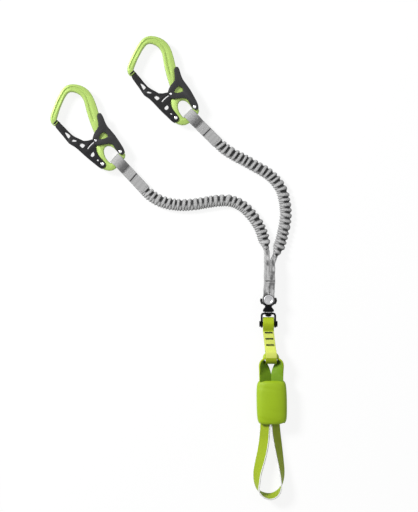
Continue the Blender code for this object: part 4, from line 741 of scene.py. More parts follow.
# The legs' way from the arms down to the pin: metres to the right, and shares of the fork's height.
FORK_LEGS = {
    "right": ((0.0053, 0.80), (0.0050, 0.42), (0.0047, 0.22)),
    "left": ((-0.0022, 0.80), (-0.0028, 0.42), (-0.0036, 0.22)),
}


def strap(name, line, width, thickness, spreads, rows=8, closed=False, looks=()):
    """Webbing laid along a line. spreads are unit vectors across its width; looks are its two faces'."""
    along = distances(line)
    count = len(line) - 1

    def place(u, v):
        index = round(u * count)
        return line[index] + spreads[index] * ((v - 0.5) * width)

    band = laid_grid(name, count, rows, place, along[-1], width)
    if closed:
        in_edit_mode(band, lambda: bpy.ops.mesh.remove_doubles(threshold=0.00001))
    for look in looks:
        band.data.materials.append(look)
    modified(
        band, "SOLIDIFY", thickness=thickness, offset=0, use_even_offset=True, use_quality_normals=True,
        material_offset=1, material_offset_rim=1,
    )
    modified(
        band, "BEVEL", width=thickness * 0.28, segments=2, limit_method="ANGLE", angle_limit=math.radians(55)
    )
    return smoothed(band, 40)


def on_frame(origin, turn_degrees):
    """The place of a piece that is modelled at the origin, unturned."""
    return Matrix.Translation(origin) @ Matrix.Rotation(math.radians(turn_degrees), 4, "Z")


def joined(name, pieces):
    """Several meshes as one named piece."""
    bpy.ops.object.select_all(action="DESELECT")
    for piece in pieces:
        piece.select_set(True)
    bpy.context.view_layer.objects.active = pieces[0]
    bpy.ops.object.join()
    pieces[0].name = name
    pieces[0].data.name = name
    return pieces[0]


def thread_run(name, places, ways, length, radius):
    """A row of sewn stitches: one rounded stitch, copied to each place and turned along its way."""
    bpy.ops.object.select_all(action="DESELECT")
    bpy.ops.mesh.primitive_uv_sphere_add(segments=8, ring_count=6, radius=1)
    first = bpy.context.active_object
    first.data.transform(Matrix.Diagonal((length / 2, radius, radius, 1)))
    copies = []
    for place, way in zip(places, ways):
        one = first.copy()
        one.data = first.data.copy()
        bpy.context.scene.collection.objects.link(one)
        turn = Vector(way).to_track_quat("X", "Z").to_matrix().to_4x4()
        one.data.transform(Matrix.Translation(place) @ turn)
        copies.append(one)
    bpy.data.objects.remove(first)
    run = joined(name, copies)
    return smoothed(run, 80)


def end_loop(side, look, thread):
    """The flat loop round the eye bar, its slope down to the table and its bar tack."""
    origin, turn, lean = EYES[side]
    place_in = on_frame(origin, turn)
    mouth = place_in.inverted() @ arms[side].centres[0]
    drop = SLEEVE_RADIUS * SLEEVE_FLATNESS + SLEEVE_LIFT - origin[2]
    half = END_HALF_GAP
    middle = EYE_BAR_REACH + END_PLY / 2
    tail_end = mouth.y - 0.0008
    path = [(tail_end, drop + half), (-0.034, drop + half), (-0.0225, drop + half), (-END_SLOPE, drop + half)]
    path += [(-END_SLOPE * 0.84, 0.0002), (-END_SLOPE * 0.60, middle * 0.60)]
    path += [(-END_SLOPE * 0.30, middle * 0.93)]
    for step in range(9):
        angle = math.pi / 2 - math.pi * step / 8
        path.append((middle * math.cos(angle), middle * math.sin(angle)))
    path += [(-END_SLOPE * 0.6, -middle * 0.97), (-END_SLOPE - 0.004, drop - half)]
    path += [(-0.0225, drop - half), (-0.034, drop - half), (tail_end, drop - half)]
    flat = smooth_line([(0, y, z) for y, z in path], 5)
    line = [place_in @ Vector((lean * min(0, point.y), point.y, point.z)) for point in flat]
    across = place_in.to_3x3() @ Vector((1, 0, 0))
    loop = strap(side + "_eye_webbing", line, END_WIDTH, END_PLY, [across] * len(line))
    dressed(loop, look, side + "_arm", "grey_webbing")
    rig.replaces(loop, side + "_arm_end_loop")
    top = drop + half + END_PLY / 2 + 0.0002
    spots, ways = [], []
    for row in range(3):
        for number in range(19):
            x = -END_TACK_WIDTH / 2 + END_TACK_WIDTH * number / 18
            y = END_TACK_PLACE + 0.0005 * row
            spots.append(place_in @ Vector((x + lean * y, y, top)))
            ways.append(place_in.to_3x3() @ Vector((1, 0.35 if number % 2 else -0.35, 0)))
    tack = thread_run(side + "_eye_tack", spots, ways, length=0.0014, radius=0.0003)
    dressed(tack, thread, side + "_arm", "dark_webbing")
    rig.replaces(tack, side + "_arm_end_tack")
    return loop, tack


def left_at(route, index):
    """The level direction to the left of the route's way at one of its points."""
    ahead = ahead_at(route, index)
    return Vector((-ahead.y, ahead.x, 0)).normalized()


def on_edge(name, route, width, thickness, leans, rows=8, looks=()):
    """Webbing standing on edge along a route, leaning to the left of its way by each angle."""
    spreads = []
    for index, lean in enumerate(leans):
        spreads.append(left_at(route, index) * math.sin(lean) + Vector((0, 0, math.cos(lean))))
    return strap(name, route, width, thickness, spreads, rows, looks=looks)


def moved_left(route, offsets):
    """The route moved to its left by each offset."""
    return [point + left_at(route, index) * offsets[index] for index, point in enumerate(route)]


def crumpled(band, depth):
    """Uneven dents, as in webbing that is folded and pulled, with painted shade where they lie deep."""
    fold = band.data.attributes.new(FOLD_SHADE, "FLOAT", "POINT")
    for index, vertex in enumerate(band.data.vertices):
        spot = Vector((vertex.co.x * 300, vertex.co.y * 95, vertex.co.z * 120))
        dent = 1.3 * noise.noise(spot) + 0.5 * noise.noise(spot * 3.1)
        vertex.co += Vector((0.4 * vertex.normal.x, 0.4 * vertex.normal.y, vertex.normal.z)) * depth * dent
        # Painted shade: darker where the dent lies deep.
        fold.data[index].value = min(1, max(0, 0.15 - 1.5 * dent))
    return band


def arm_leg(side, look):
    """Folded webbing on edge, from the sleeve's end past the arm's bending line and half round the pin."""
    origin = Vector(SWIVEL)
    way = 1 if side == "right" else -1
    last, before = arms[side].centres[-1], arms[side].centres[-4]
    along = Vector((last.x - before.x, last.y - before.y, 0)).normalized()
    start = Vector((last.x, last.y, 0)) - along * 0.0012
    hinge = Vector((*HINGES[side], 0))
    # Out of the sleeve, past the bending line, down beside the other leg and half round the pin.
    below = [(x, FORK_TOP * share) for x, share in FORK_LEGS[side]]
    arc = []
    for degrees in (0, 22.5, 45, 67.5, 88):
        turn = math.radians(degrees)
        arc.append((way * FORK_BEND * math.cos(turn), -FORK_BEND * math.sin(turn)))
    places = [start, start + along * 0.0045, hinge + Vector((0, 0.004, 0)), hinge + Vector((0, -0.0015, 0))]
    places += [Vector((origin.x + x, origin.y + y, 0)) for x, y in below + arc]
    route = even_line(smooth_line(places, 8), 84)
    low = TAIL_WIDTH / 2 + SLEEVE_LIFT
    run = distances(route)
    stretch = (hinge - start).length
    for index, point in enumerate(route):
        point.z = low + (SWIVEL[2] - low) * eased(run[index] / stretch)
    plies = []
    for number in (-1, 1):
        offsets = []
        for index, point in enumerate(route):
            straight = 1 - eased((SWIVEL[1] + 0.014 - point.y) / 0.012)
            sway = 0.00018 * math.sin(index * 0.31 + number)
            inside = 0.62 + 0.38 * eased(run[index] / 0.006)
            round_pin = 0.0012 * (1 - straight)
            offsets.append(number * (FORK_OFFSET - round_pin) * inside + sway * straight)
        sides = moved_left(route, offsets)
        ply = on_edge(f"{side}_ply", sides, TAIL_WIDTH * 0.95, FORK_PLY, [0] * len(route), rows=10)
        plies.append(crumpled(ply, FORK_CRUMPLE))
    leg = joined(side + "_leg_webbing", plies)
    leg.data.materials.clear()
    leg.data.materials.append(look)
    turning = Vector((0, 0.005, 0))
    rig.blend(leg, "fork", side + "_arm", start=hinge - turning, end=hinge + turning)
    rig.slot(leg, "grey_webbing")
    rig.replaces(leg, side + "_arm_tail", "arms_fork_webbing")
    return leg


# Its hollow colour is painted shade in the legs' dents.
GREY_WEBBING = cloth_material(
    "grey_flat_webbing", GREY_YARN, rib=0.0011, yarn=0.0007, depth=0.0001, hollow=(0.12, 0.12, 0.12)
)
RIBBED_GREY = cloth_material("grey_ribbed_webbing", FLAT_GREY, rib=0.0019, yarn=0.0010, stagger=0.25)
DARK_THREAD = cloth_material("dark_grey_thread", DARK_YARN, rib=0.0004, yarn=0.0004)
for side in ("right", "left"):
    arms[side].pieces.extend(end_loop(side, RIBBED_GREY, DARK_THREAD))
    arms[side].pieces.append(arm_leg(side, GREY_WEBBING))

# Bar tack of the fork
# Grey thread sewn through both legs below the arms, which keeps them together round the pin.
# The swivel's guard and pin then hold the loop that they make.


def fork_tack(thread):
    """Four short rows of stitches on the legs' upper edges."""
    low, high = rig.box("arms_fork_tack")
    middle = (low.y + high.y) / 2
    height = SWIVEL[2] + TAIL_WIDTH * 0.475 + 0.0004
    spots, ways = [], []
    for row in range(4):
        for number in range(11):
            x = low.x + 0.0006 + (high.x - low.x - 0.0012) * number / 10
            lift = 0.0003 * math.sin(number * 1.3)
            spots.append(Vector((x, middle + (row - 1.5) * 0.0005, height + lift)))
            ways.append((1, 0.3 if number % 2 else -0.3, 0))
    tack = thread_run("fork_tack", spots, ways, length=0.0016, radius=0.0003)
    dressed(tack, thread, "fork", "dark_webbing")
    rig.replaces(tack, "arms_fork_tack")
    return tack


GREY_THREAD = cloth_material("grey_thread", (0.30, 0.30, 0.30), rib=0.0004, yarn=0.0004)
arms["right"].pieces.append(fork_tack(GREY_THREAD))

# Swivel and shackle
# Forged steel, coated gloss black: a yoke with the arms' pin turns on an axle in the shackle.
# The arms' pin has a satin steel head with a dished face; the axle and its ring stay bright.
# A moulded strip keeps the webbing off the yoke. It rides with the arms, so their cords end this section.
GUARD_LIP = 0.0026
# The strip's way round the pin: degrees from straight below it, and distance from its middle.
GUARD_LINE = (
    (-98, 0.0100), (-82, 0.0106), (-68, 0.0106), (-57, 0.0096), (-48, 0.0092), (-20, 0.0091),
    (0, 0.0091), (20, 0.0091), (48, 0.0092), (57, 0.0096), (67, 0.0106), (82, 0.0108), (104, 0.0102),
)


def grain_effect():
    """Very fine surface grain on Object coordinates, for coatings and moulded plastic."""
    tree, given, result = effect_group("fine_grain", {"Size": 0.0006, "Depth": 1.0}, ["Height"])
    place = add_node(tree, "ShaderNodeTexCoord")
    scale = calc(tree, "DIVIDE", 1.0, given.outputs["Size"])
    specks = noise_value(tree, place.outputs["Object"], scale, 2)
    tree.links.new(calc(tree, "MULTIPLY", specks, given.outputs["Depth"]), result.inputs["Height"])
    return tree


def wear_effect():
    """1 along rubbed edges, broken up by noise, 0 on the faces."""
    tree, given, result = effect_group("edge_wear", {"Reach": 0.0004, "Amount": 0.6}, ["Mask"])
    flat = add_node(tree, "ShaderNodeNewGeometry")
    rounded = add_node(tree, "ShaderNodeBevel", {"Radius": given.outputs["Reach"]}, samples=6)
    normals = {0: flat.outputs["Normal"], 1: rounded.outputs[0]}
    same = add_node(tree, "ShaderNodeVectorMath", normals, operation="DOT_PRODUCT")
    edge = calc(tree, "MULTIPLY", calc(tree, "SUBTRACT", 1.0, same.outputs["Value"]), 5.0)
    place = add_node(tree, "ShaderNodeTexCoord")
    gaps = noise_value(tree, place.outputs["Object"], 260, 4)
    broken = calc(tree, "MULTIPLY", edge, calc(tree, "MULTIPLY", gaps, given.outputs["Amount"]))
    tree.links.new(calc(tree, "MINIMUM", broken, 1.0), result.inputs["Mask"])
    return tree


GRAIN = grain_effect()
WEAR = wear_effect()


def hard_material(name, colour, worn, roughness, metallic=0.0, grain=0.0006, wear=0.5, specular=0.5):
    """Metal or moulded plastic with grain, slow patches and rubbed edges."""
    made, tree, shader = plain_material(name, roughness, metallic, specular=specular)
    rub = group_node(tree, WEAR, Amount=wear)
    slow = group_node(tree, UNEVEN, Size=0.012, Amount=0.05)
    fine = group_node(tree, GRAIN, Size=grain)
    shown = between_colours(tree, rub.outputs["Mask"], (*colour, 1), (*worn, 1))
    tree.links.new(toned(tree, shown, slow.outputs["Tone"]), shader.inputs["Base Color"])
    tree.links.new(calc(tree, "MULTIPLY", slow.outputs["Tone"], roughness), shader.inputs["Roughness"])
    add_bump(tree, shader, fine.outputs["Height"], 0.00002, 0.7)
    return made


def refined(node, name, look, body, slot, edge=0.00025, smooth=38):
    """The node's own form merged into one skin, with its sharp edges rounded off."""
    bpy.ops.object.select_all(action="DESELECT")
    copy = nodes[node].copy()
    copy.data = nodes[node].data.copy()
    copy.name = name
    copy.data.name = name
    # It starts without the node's own marks, and gets its own below.
    for key in list(copy.keys()):
        del copy[key]
    copy.parent = None
    bpy.context.scene.collection.objects.link(copy)

    def merge():
        bpy.ops.mesh.remove_doubles(threshold=0.000004)
        bpy.ops.mesh.dissolve_limited(angle_limit=math.radians(0.5))

    in_edit_mode(copy, merge)
    if edge:
        modified(
            copy, "BEVEL", width=edge, segments=2, limit_method="ANGLE", angle_limit=math.radians(32),
            use_clamp_overlap=True,
        )
    smoothed(copy, smooth)
    dressed(copy, look, body, slot)
    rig.replaces(copy, node)
    return copy


def guard_strip(look):
    """The moulded strip under the pin, with its thick lips up both sides of the webbing."""
    strip = refined("arms_fork_guard", "fork_guard_strip", look, "fork", "black_plastic")
    route = []
    for degrees, reach in GUARD_LINE:
        turn = math.radians(degrees)
        route.append(Vector(SWIVEL) + Vector((math.sin(turn), -math.cos(turn), 0)) * reach)
    line = even_line(smooth_line(route, 4), 60)
    lip = on_edge("guard_lip", line, TAIL_WIDTH, GUARD_LIP, [0] * len(line), rows=4)
    lip.data.materials.append(look)
    strip = joined("fork_guard_strip", [strip, lip])
    smoothed(strip, 45)
    return strip


GLOSS_BLACK = hard_material(
    "gloss_black_coating", (0.003, 0.003, 0.004), (0.05, 0.05, 0.05), roughness=0.30, wear=0.12, specular=0.07
)
BRIGHT_STEEL = hard_material(
    "bright_steel", (0.74, 0.75, 0.76), (0.92, 0.92, 0.92), roughness=0.24, metallic=1.0, grain=0.0003
)
SATIN_STEEL = hard_material(
    "satin_steel", (0.44, 0.44, 0.45), (0.80, 0.80, 0.80), roughness=0.34, metallic=1.0, grain=0.0003
)
BLACK_PLASTIC = hard_material(
    "black_guard_plastic", (0.009, 0.009, 0.010), (0.05, 0.05, 0.05), roughness=0.4, grain=0.0005,
    specular=0.25,
)
refined("swivel_yoke", "yoke_forging", GLOSS_BLACK, "yoke", "gloss_black_metal")
refined("shackle", "shackle_forging", GLOSS_BLACK, "shackle", "gloss_black_metal")
refined("shackle_pin", "shackle_pin_bolt", GLOSS_BLACK, "shackle", "gloss_black_metal")
refined("shackle_pin_nut", "shackle_pin_end", GLOSS_BLACK, "shackle", "gloss_black_metal")
refined("arm_pin", "arm_pin_bolt", SATIN_STEEL, "yoke", "bright_steel", edge=0.0002)
refined("arm_pin_nut", "arm_pin_end", SATIN_STEEL, "yoke", "bright_steel")
refined("swivel_axle", "swivel_bolt", BRIGHT_STEEL, "yoke", "bright_steel")
refined("swivel_axle_nut", "swivel_bolt_end", GLOSS_BLACK, "yoke", "gloss_black_metal")
refined("swivel_washer", "swivel_ring", BRIGHT_STEEL, "yoke", "bright_steel")
arms["right"].pieces.append(guard_strip(BLACK_PLASTIC))
for side in ("right", "left"):
    sleeve, centres, length, on_arm = arms[side]
    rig.cord(
        sleeve, exit=centres[-1], length=length, diameter=SLEEVE_RADIUS * 2, far_end="object",
        stiffness="limp", lay="loose", path=centres, with_pieces=on_arm,
    )

# Sling
# A closed band of lime webbing, sewn below the shackle with dark thread in the shape of a ladder.
# Its upper bight holds the shackle's pin, and its lower one the absorber's loop.
# Places along it are measured from the arms' pin.
SLING_WIDTH = 0.0156
SLING_PLY = 0.0022
SLING_LEAN = 0.117
SLING_HALF_GAP = 0.00135
PIN_PLACE = -0.0348
PIN_RADIUS = 0.0042
SLING_NECK = -0.0458
SLING_SPLIT = -0.0658
SLING_OPENING = 0.009
LOOP_CROSSING = -0.079614
LOOP_ROOM = 0.009628
LABEL_PLY = 0.0003
LIME_YARN = (0.40, 0.52, 0.006)


def leaned(point):
    """The sling lies slightly aslant below the shackle, as soft webbing does."""
    below = min(max(0, SLING_NECK - point.y), SLING_NECK - LOOP_CROSSING)
    return Vector((point.x + below * SLING_LEAN, point.y, point.z))


def sling_band(look, thread):
    """The closed band and its three groups of sewn rows. It returns the band's middle line."""
    half, pin, wide = SLING_HALF_GAP, PIN_RADIUS, LOOP_ROOM + 0.0003 + SLING_PLY / 2
    top = PIN_PLACE + 0.0088
    front = [(top - 0.0005, pin * 0.62), (top - 0.0028, pin * 1.12), (PIN_PLACE + 0.0030, pin * 1.40)]
    front += [(PIN_PLACE, pin * 1.42), (PIN_PLACE - 0.0036, pin * 1.12), (PIN_PLACE - 0.0080, pin * 0.52)]
    front += [(SLING_NECK, half), (SLING_NECK - 0.004, half), ((SLING_NECK + SLING_SPLIT) / 2, half)]
    front += [(SLING_SPLIT, half), (SLING_SPLIT - SLING_OPENING * 0.42, half * 1.7)]
    front += [(SLING_SPLIT - SLING_OPENING * 0.84, wide * 0.80)]
    for share, reach in ((-0.40, 0.98), (0, 1.0), (0.40, 0.92), (0.73, 0.70), (0.95, 0.36)):
        front.append((LOOP_CROSSING - wide * share, wide * reach))
    back = [(y, -z) for y, z in reversed(front)]
    path = [(top, 0)] + front + [(LOOP_CROSSING - wide * 1.02, 0)] + back + [(top, 0)]
    line = [Vector(SWIVEL) + leaned(Vector((0, y, z))) for y, z in path]
    line = smooth_line(line, 6)
    band = strap("sling_band", line, SLING_WIDTH, SLING_PLY, [Vector((1, 0, 0))] * len(line), closed=True)
    dressed(band, look, "sling", "lime_webbing")
    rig.replaces(band, "sling_webbing")
    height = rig.box("sling_stitching")[0].z + 0.00035
    spots, ways = [], []
    # Three rows at the neck, three half way down and three above the lower bight.
    middle, reach = (SLING_NECK + SLING_SPLIT) / 2, SLING_WIDTH / 2 - 0.0022
    for place in (SLING_NECK - 0.0012, middle, SLING_SPLIT + 0.0012):
        for row in (-0.0007, 0, 0.0007):
            for number in range(15):
                x = -reach * 0.92 + 1.84 * reach * (number + 0.3 * scatter(number + 9 * row)) / 14
                spots.append(Vector(SWIVEL) + leaned(Vector((x, place + row, 0))))
                ways.append((1, 0.9 if number % 2 else -0.9, 0))
    for spot in spots:
        spot.z = height
    rows = thread_run("sling_tack_rows", spots, ways, length=0.0014, radius=0.00034)
    dressed(rows, thread, "sling", "dark_thread")
    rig.replaces(rows, "sling_stitching")
    return line


def sling_label(look, line):
    """The blank pale face woven into the sling's front, from the neck to its lower bight."""
    found = []
    for before, point, after in zip(line, line[1:], line[2:]):
        away = point.y - SWIVEL[1]
        if point.z > SWIVEL[2] and LOOP_CROSSING - 0.0036 < away < SLING_NECK + 0.0008:
            out = Vector((1, 0, 0)).cross(after - before).normalized()
            found.append(point + out * math.copysign(SLING_PLY / 2 + 0.00012, out.z))
    spreads = [Vector((1, 0, 0))] * len(found)
    label = strap("sling_label_face", found, SLING_WIDTH - 0.0003, LABEL_PLY, spreads)
    dressed(label, look, "sling", "lime_webbing")


LIME_WEBBING = cloth_material(
    "lime_sling_webbing", LIME_YARN, rib=0.0009, yarn=0.0006, depth=0.0001, tone=0.22
)
OLIVE_THREAD = cloth_material("olive_thread", (0.03, 0.045, 0.008), rib=0.0004, yarn=0.0004)
LABEL_WEAVE = cloth_material(
    "pale_lime_label", (0.70, 0.78, 0.14), rib=0.0006, yarn=0.0005, depth=0.00006, tone=0.2
)
sling_label(LABEL_WEAVE, sling_band(LIME_WEBBING, OLIVE_THREAD))

# Absorber's upper loop
# The end of the tear webbing, passed through the sling on edge, with its legs leaning together.
# Its inner faces take a darker copy of the lime webbing as painted shade, and both legs run down into the pouch.
UPPER_HALF = 0.0139
UPPER_WIDTH = 0.0185
UPPER_PLY = 0.0024
# Where the legs end inside the pouch, from the arms' pin.
UPPER_END = -0.122389
# Half of the loop from its top: across and down from the sling's bight, as shares of its half width,
# and its lean in degrees.
UPPER_LINE = [
    (0, 0, -20), (0.33, -0.02, -20), (0.58, -0.13, -14), (0.78, -0.37, 2), (0.88, -0.64, 20),
    (0.86, -0.90, 34), (0.78, -1.20, 45), (0.70, -1.50, 53), (0.63, -1.92, 65), (0.61, -2.40, 66),
    (0.62, -5.80, 66),
]


def upper_loop(look, inner_shade_look):
    """The loop in one piece, with painted shade on its inner face."""
    middle = (SLING_NECK - LOOP_CROSSING) * SLING_LEAN
    side = [Vector((x * UPPER_HALF, LOOP_CROSSING + y * UPPER_HALF, lean)) for x, y, lean in UPPER_LINE]
    side[-1].y = UPPER_END
    route = [Vector((-x, y, lean)) for x, y, lean in reversed(side)] + side[1:]
    # The lean travels along as a very small third coordinate, so that the smoothing covers it too.
    route = smooth_line([Vector((x, y, lean * 0.0001)) for x, y, lean in route], 8)
    line, leans = [], []
    for point in even_line(route, 110):
        line.append(Vector(SWIVEL) + Vector((point.x + middle, point.y, 0)))
        leans.append(math.radians(point.z * 10000))
    band = on_edge("upper_loop_band", line, UPPER_WIDTH, UPPER_PLY, leans, rows=10, looks=(inner_shade_look, look))
    dressed(band, look, "absorber", "lime_webbing")
    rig.replaces(band, "absorber_upper_loop")


# A darker copy of the lime webbing: painted shade on the loop's inner faces.
INNER_SHADE_LIME = cloth_material(
    "deep_lime_webbing", (0.165, 0.31, 0.004), rib=0.0010, yarn=0.0007, depth=0.0001, tone=0.25
)
upper_loop(LIME_WEBBING, INNER_SHADE_LIME)

# Pouch with the tear webbing
# A padded sleeve of lime fabric, open at both ends, holding the folded tear webbing.
# The folds rip open stitch by stitch in a fall; the pouch only keeps them clean and flat.
POUCH = (0.147004, -0.1915485, 0.0139)
POUCH_TURN = 1.0
POUCH_SIZE = (0.0434, 0.0644, 0.0270)
POUCH_ROOM_TO_SWELL = 0.0016
POUCH_SWELL = 0.0012
POUCH_VOXEL = 0.0022
POUCH_MOUTH = (0.0356, 0.12, 0.0180)
POUCH_CREASE = 0.0004
PACK_WIDTH = 0.0320
PACK_PLY = 0.0023
PACK_STEP = 0.0030
PACK_REACH = 0.0200
PACK_FOLDS = 6
LIME_FABRIC = (0.315, 0.475, 0.002)


def stuffed_form(size):
    """A box with its edges drawn in, as a first rough shape of the pouch."""
    bpy.ops.object.select_all(action="DESELECT")
    bpy.ops.mesh.primitive_cube_add(size=1)
    form = bpy.context.active_object
    form.data.transform(Matrix.Diagonal((*size, 1)))
    in_edit_mode(form, lambda: bpy.ops.mesh.subdivide(number_cuts=2))
    half = [side / 2 for side in size]
    for vertex in form.data.vertices:
        for axis in range(3):
            if abs(vertex.co[axis]) < half[axis] / 2:
                vertex.co[axis] = math.copysign(half[axis] * 0.52, vertex.co[axis])
        out = [vertex.co[axis] / half[axis] for axis in range(3)]
        vertex.co.x *= 1 - 0.08 * out[1] ** 2
        vertex.co.z *= 1 - 0.12 * out[1] ** 2 - 0.36 * out[0] ** 2
    modified(form, "SUBSURF", levels=2, render_levels=2)
    reach = [max(vertex.co[axis] for vertex in form.data.vertices) * 2 for axis in range(3)]
    form.data.transform(Matrix.Diagonal((*(side / far for side, far in zip(size, reach)), 1)))
    return form


def puffed(form, most):
    """Blows the fabric up a little with the cloth solver, no point moving further than most."""
    modified(form, "REMESH", mode="VOXEL", voxel_size=POUCH_VOXEL)
    before = [vertex.co.copy() for vertex in form.data.vertices]
    cloth = form.modifiers.new("Cloth", "CLOTH")
    cloth.settings.use_pressure = True
    cloth.settings.uniform_pressure_force = 4
    cloth.settings.quality = 6
    cloth.settings.tension_stiffness = 25
    cloth.settings.bending_stiffness = 0.6
    cloth.settings.effector_weights.gravity = 0
    for step in range(1, 13):
        bpy.context.scene.frame_set(step)
    solved = form.evaluated_get(bpy.context.evaluated_depsgraph_get())
    after = [vertex.co.copy() for vertex in solved.data.vertices]
    form.modifiers.remove(cloth)
    for vertex, old, new in zip(form.data.vertices, before, after):
        move = new - old
        vertex.co = old + move * min(1, most / max(move.length, 1e-9))
    bpy.context.scene.frame_set(1)


def pouch_cover(look):
    """The stuffed cover, cut open at both ends, with small creases towards them."""
    place_in = on_frame(POUCH, POUCH_TURN)
    cover = stuffed_form([side - POUCH_ROOM_TO_SWELL for side in POUCH_SIZE])
    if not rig.quick():
        puffed(cover, POUCH_SWELL)
    modified(cover, "SMOOTH", factor=0.6, iterations=4)
    reach = [max(abs(vertex.co[axis]) for vertex in cover.data.vertices) * 2 for axis in range(3)]
    cover.data.transform(Matrix.Diagonal((*(side / far for side, far in zip(POUCH_SIZE, reach)), 1)))
    bpy.ops.object.select_all(action="DESELECT")
    bpy.ops.mesh.primitive_cube_add(size=1)
    mouth = bpy.context.active_object
    mouth.data.transform(Matrix.Diagonal((*POUCH_MOUTH, 1)))
    modified(mouth, "BEVEL", width=0.004, segments=4)
    modified(cover, "SUBSURF", levels=1, render_levels=1)
    modified(cover, "BOOLEAN", object=mouth, operation="DIFFERENCE", solver="EXACT")
    bpy.data.objects.remove(mouth)
    modified(cover, "BEVEL", width=0.0006, segments=2, limit_method="ANGLE", angle_limit=math.radians(50))
    for vertex in cover.data.vertices:
        x, y, z = vertex.co
        above = max(0, z / (POUCH_SIZE[2] / 2))
        vertex.co.z -= POUCH_CREASE * above * max(0, math.sin(y * 420 + x * 90)) * eased(abs(y) / 0.03)
    cover.data.transform(place_in)
    cover.name = "pouch_cover"
    cover.data.name = "pouch_cover"
    smoothed(cover, 45)
    dressed(cover, look, "absorber", "lime_webbing")
    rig.replaces(cover, "absorber_pouch")
    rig.padded(cover, fill=0.7)


def tear_webbing(look):
    """The dark webbing folded in layers inside the pouch."""
    place_in = on_frame(POUCH, POUCH_TURN)
    path = []
    for fold in range(PACK_FOLDS):
        way = 1 if fold % 2 == 0 else -1
        height = -PACK_STEP * (PACK_FOLDS - 1) / 2 + PACK_STEP * fold
        for share in (-1, -0.6, 0, 0.6, 1):
            path.append((0, way * PACK_REACH * share, height))
        if fold < PACK_FOLDS - 1:
            path.append((0, way * (PACK_REACH + PACK_STEP / 2), height + PACK_STEP / 2))
    line = [place_in @ point for point in smooth_line(path, 3)]
    across = place_in.to_3x3() @ Vector((1, 0, 0))
    pack = strap("folded_tear_webbing", line, PACK_WIDTH, PACK_PLY, [across] * len(line), rows=4)
    dressed(pack, look, "absorber", "dark_webbing")
    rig.replaces(pack, "absorber_tear_webbing")


def fabric_material(name, colour):
    """Fine padded fabric on Object coordinates: a tight weave and a slow change of tone."""
    made, tree, shader = plain_material(name, roughness=0.55, sheen=0.05, specular=0.4)
    place = add_node(tree, "ShaderNodeTexCoord")
    fine = {"Vector": place.outputs["Object"], "Scale": 420, "Distortion": 0.6, "Detail": 1}
    ribs = []
    for way in ("X", "Y"):
        wave = add_node(tree, "ShaderNodeTexWave", fine, wave_type="BANDS", bands_direction=way)
        ribs.append(wave.outputs["Fac"])
    weave = calc(tree, "MULTIPLY", ribs[0], ribs[1])
    slow = group_node(tree, UNEVEN, Size=0.022, Amount=0.07)
    # The weave's tone is painted shade: a little darker between the threads.
    tone = calc(tree, "MULTIPLY_ADD", weave, 0.05, 0.97)
    tree.links.new(toned(tree, colour, tone, slow.outputs["Tone"]), shader.inputs["Base Color"])
    add_bump(tree, shader, weave, 0.00003, 0.6)
    return made


POUCH_FABRIC = fabric_material("lime_pouch_fabric", LIME_FABRIC)
DARK_WEBBING = cloth_material("dark_tear_webbing", DARK_YARN)
pouch_cover(POUCH_FABRIC)
tear_webbing(DARK_WEBBING)

# Harness loop
# The long lime loop that is tied into a harness, on edge, leaning inwards, with white selvedges.
# Its ends go up into the pouch's mouth.
HARNESS_WIDTH = 0.0190
HARNESS_PLY = 0.0019
HARNESS_MOUTH_HEIGHT = 0.0112
HARNESS_RISE = 0.024
# Its middle line, with how far it leans in degrees.
HARNESS_LINE = [
    (0.1379, -0.2149, 43), (0.1377, -0.2247, 44), (0.1373, -0.2347, 45), (0.1358, -0.2505, 46),
    (0.1330, -0.2662, 45), (0.1296, -0.2805, 41), (0.1266, -0.2948, 33), (0.1263, -0.3077, 22),
    (0.1284, -0.3185, 3), (0.1364, -0.3251, -13), (0.1456, -0.3269, -19), (0.1539, -0.3234, -16),
    (0.1596, -0.3162, -4), (0.1619, -0.3048, 12), (0.1616, -0.2912, 23), (0.1591, -0.2733, 30),
    (0.1562, -0.2548, 37), (0.1537, -0.2376, 40), (0.1524, -0.2247, 40), (0.1520, -0.2149, 39),
]


def harness_loop(look):
    """The loop lies on the table by its lower edge, and rises into the pouch's mouth."""
    route, leans = [], []
    for point in smooth_line(HARNESS_LINE, 6):
        lean = math.radians(point.z)
        low = HARNESS_WIDTH / 2 * math.cos(lean) + HARNESS_PLY / 2 * abs(math.sin(lean)) + SLEEVE_LIFT
        lifted = eased((point.y - (POUCH[1] - POUCH_SIZE[1] / 2 - HARNESS_RISE)) / HARNESS_RISE)
        route.append(Vector((point.x, point.y, low + (HARNESS_MOUTH_HEIGHT - low) * lifted)))
        leans.append(lean)
    band = on_edge("harness_band", route, HARNESS_WIDTH, HARNESS_PLY, leans, rows=14)
    dressed(band, look, "absorber", "lime_webbing")
    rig.replaces(band, "harness_loop")


HARNESS_WEBBING = cloth_material(
    "lime_harness_webbing", (0.30, 0.405, 0.005), rib=0.0011, yarn=0.0008, depth=0.0001, tone=0.22,
    edge=(HARNESS_WIDTH / 2, 0.0009, (0.88, 0.88, 0.87)),
)
harness_loop(HARNESS_WEBBING)

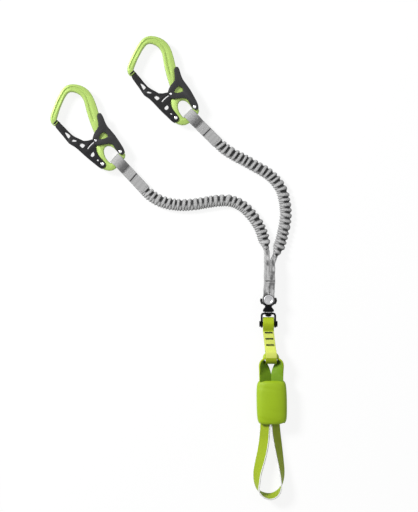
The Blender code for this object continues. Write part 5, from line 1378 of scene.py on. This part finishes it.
# Carabiners
# Forged and anodised aluminium bodies, with a satin charcoal gate and moulded palm lever on steel rivets.
# Squeezing the lever drives the gate by a pin in its slot.
# Small steel coils push them back, and the palm presses the lever's coil together.
ANODISED_LIME = hard_material(
    "lime_anodised", (0.365, 0.52, 0.12), (0.80, 0.84, 0.66), roughness=0.42, metallic=0.25, wear=0.35
)
GATE_BLACK = hard_material(
    "charcoal_gate", (0.008, 0.008, 0.009), (0.10, 0.10, 0.105), roughness=0.42, wear=0.4, specular=0.22
)
# The lever's charcoal is a little lighter than the gate's.
LEVER_BLACK = hard_material(
    "charcoal_lever", (0.020, 0.020, 0.021), (0.12, 0.12, 0.125), roughness=0.46, specular=0.25
)
LEVER_COIL_HALF = 0.0050
LEVER_COIL_PRESSED = 0.55
# Each CAD node, the piece made from it, its look, body and slot, its rounded edges and its smoothing angle.
CARABINER_PIECES = (
    ("carabiner_body", "forged_body", ANODISED_LIME, "carabiner", "lime_anodised_metal", 0.0003, 62),
    ("gate", "gate_moulding", GATE_BLACK, "gate", "charcoal_plastic", 0.0003, 38),
    ("palm_lever", "lever_moulding", LEVER_BLACK, "lever", "charcoal_plastic", 0.0003, 38),
    ("gate_rivet", "gate_rivet_head", BRIGHT_STEEL, "carabiner", "bright_steel", 0.00025, 38),
    ("lever_rivet", "lever_rivet_head", BRIGHT_STEEL, "carabiner", "bright_steel", 0.00025, 38),
    ("link_pin", "link_pin_head", BRIGHT_STEEL, "lever", "bright_steel", 0.00025, 38),
    ("gate_spring", "gate_coil", BRIGHT_STEEL, "carabiner", "bright_steel", 0, 38),
    ("lever_spring", "lever_coil", BRIGHT_STEEL, "carabiner", "bright_steel", 0, 38),
)
for side in ("right", "left"):
    for node, piece, look, body, slot, edge, smooth in CARABINER_PIECES:
        made = refined(f"{side}_{node}", f"{side}_{piece}", look, f"{side}_{body}", slot, edge, smooth)
        if node == "lever_spring":
            low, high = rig.box(f"{side}_{node}")
            turn = math.radians(EYES[side][1])
            pressed = Vector((math.cos(turn), math.sin(turn), 0))
            floor = (low + high) / 2 - pressed * LEVER_COIL_HALF
            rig.squash(made, side + "_lever_squeeze", axis=pressed, anchor=floor, keep=LEVER_COIL_PRESSED)

visual_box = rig.bounds()
with open("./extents.json", "w") as kept:
    kept.write(
        str([[list(corner) for corner in cad_box], [list(corner) for corner in visual_box]])
        .replace("(", "[").replace(")", "]")
    )
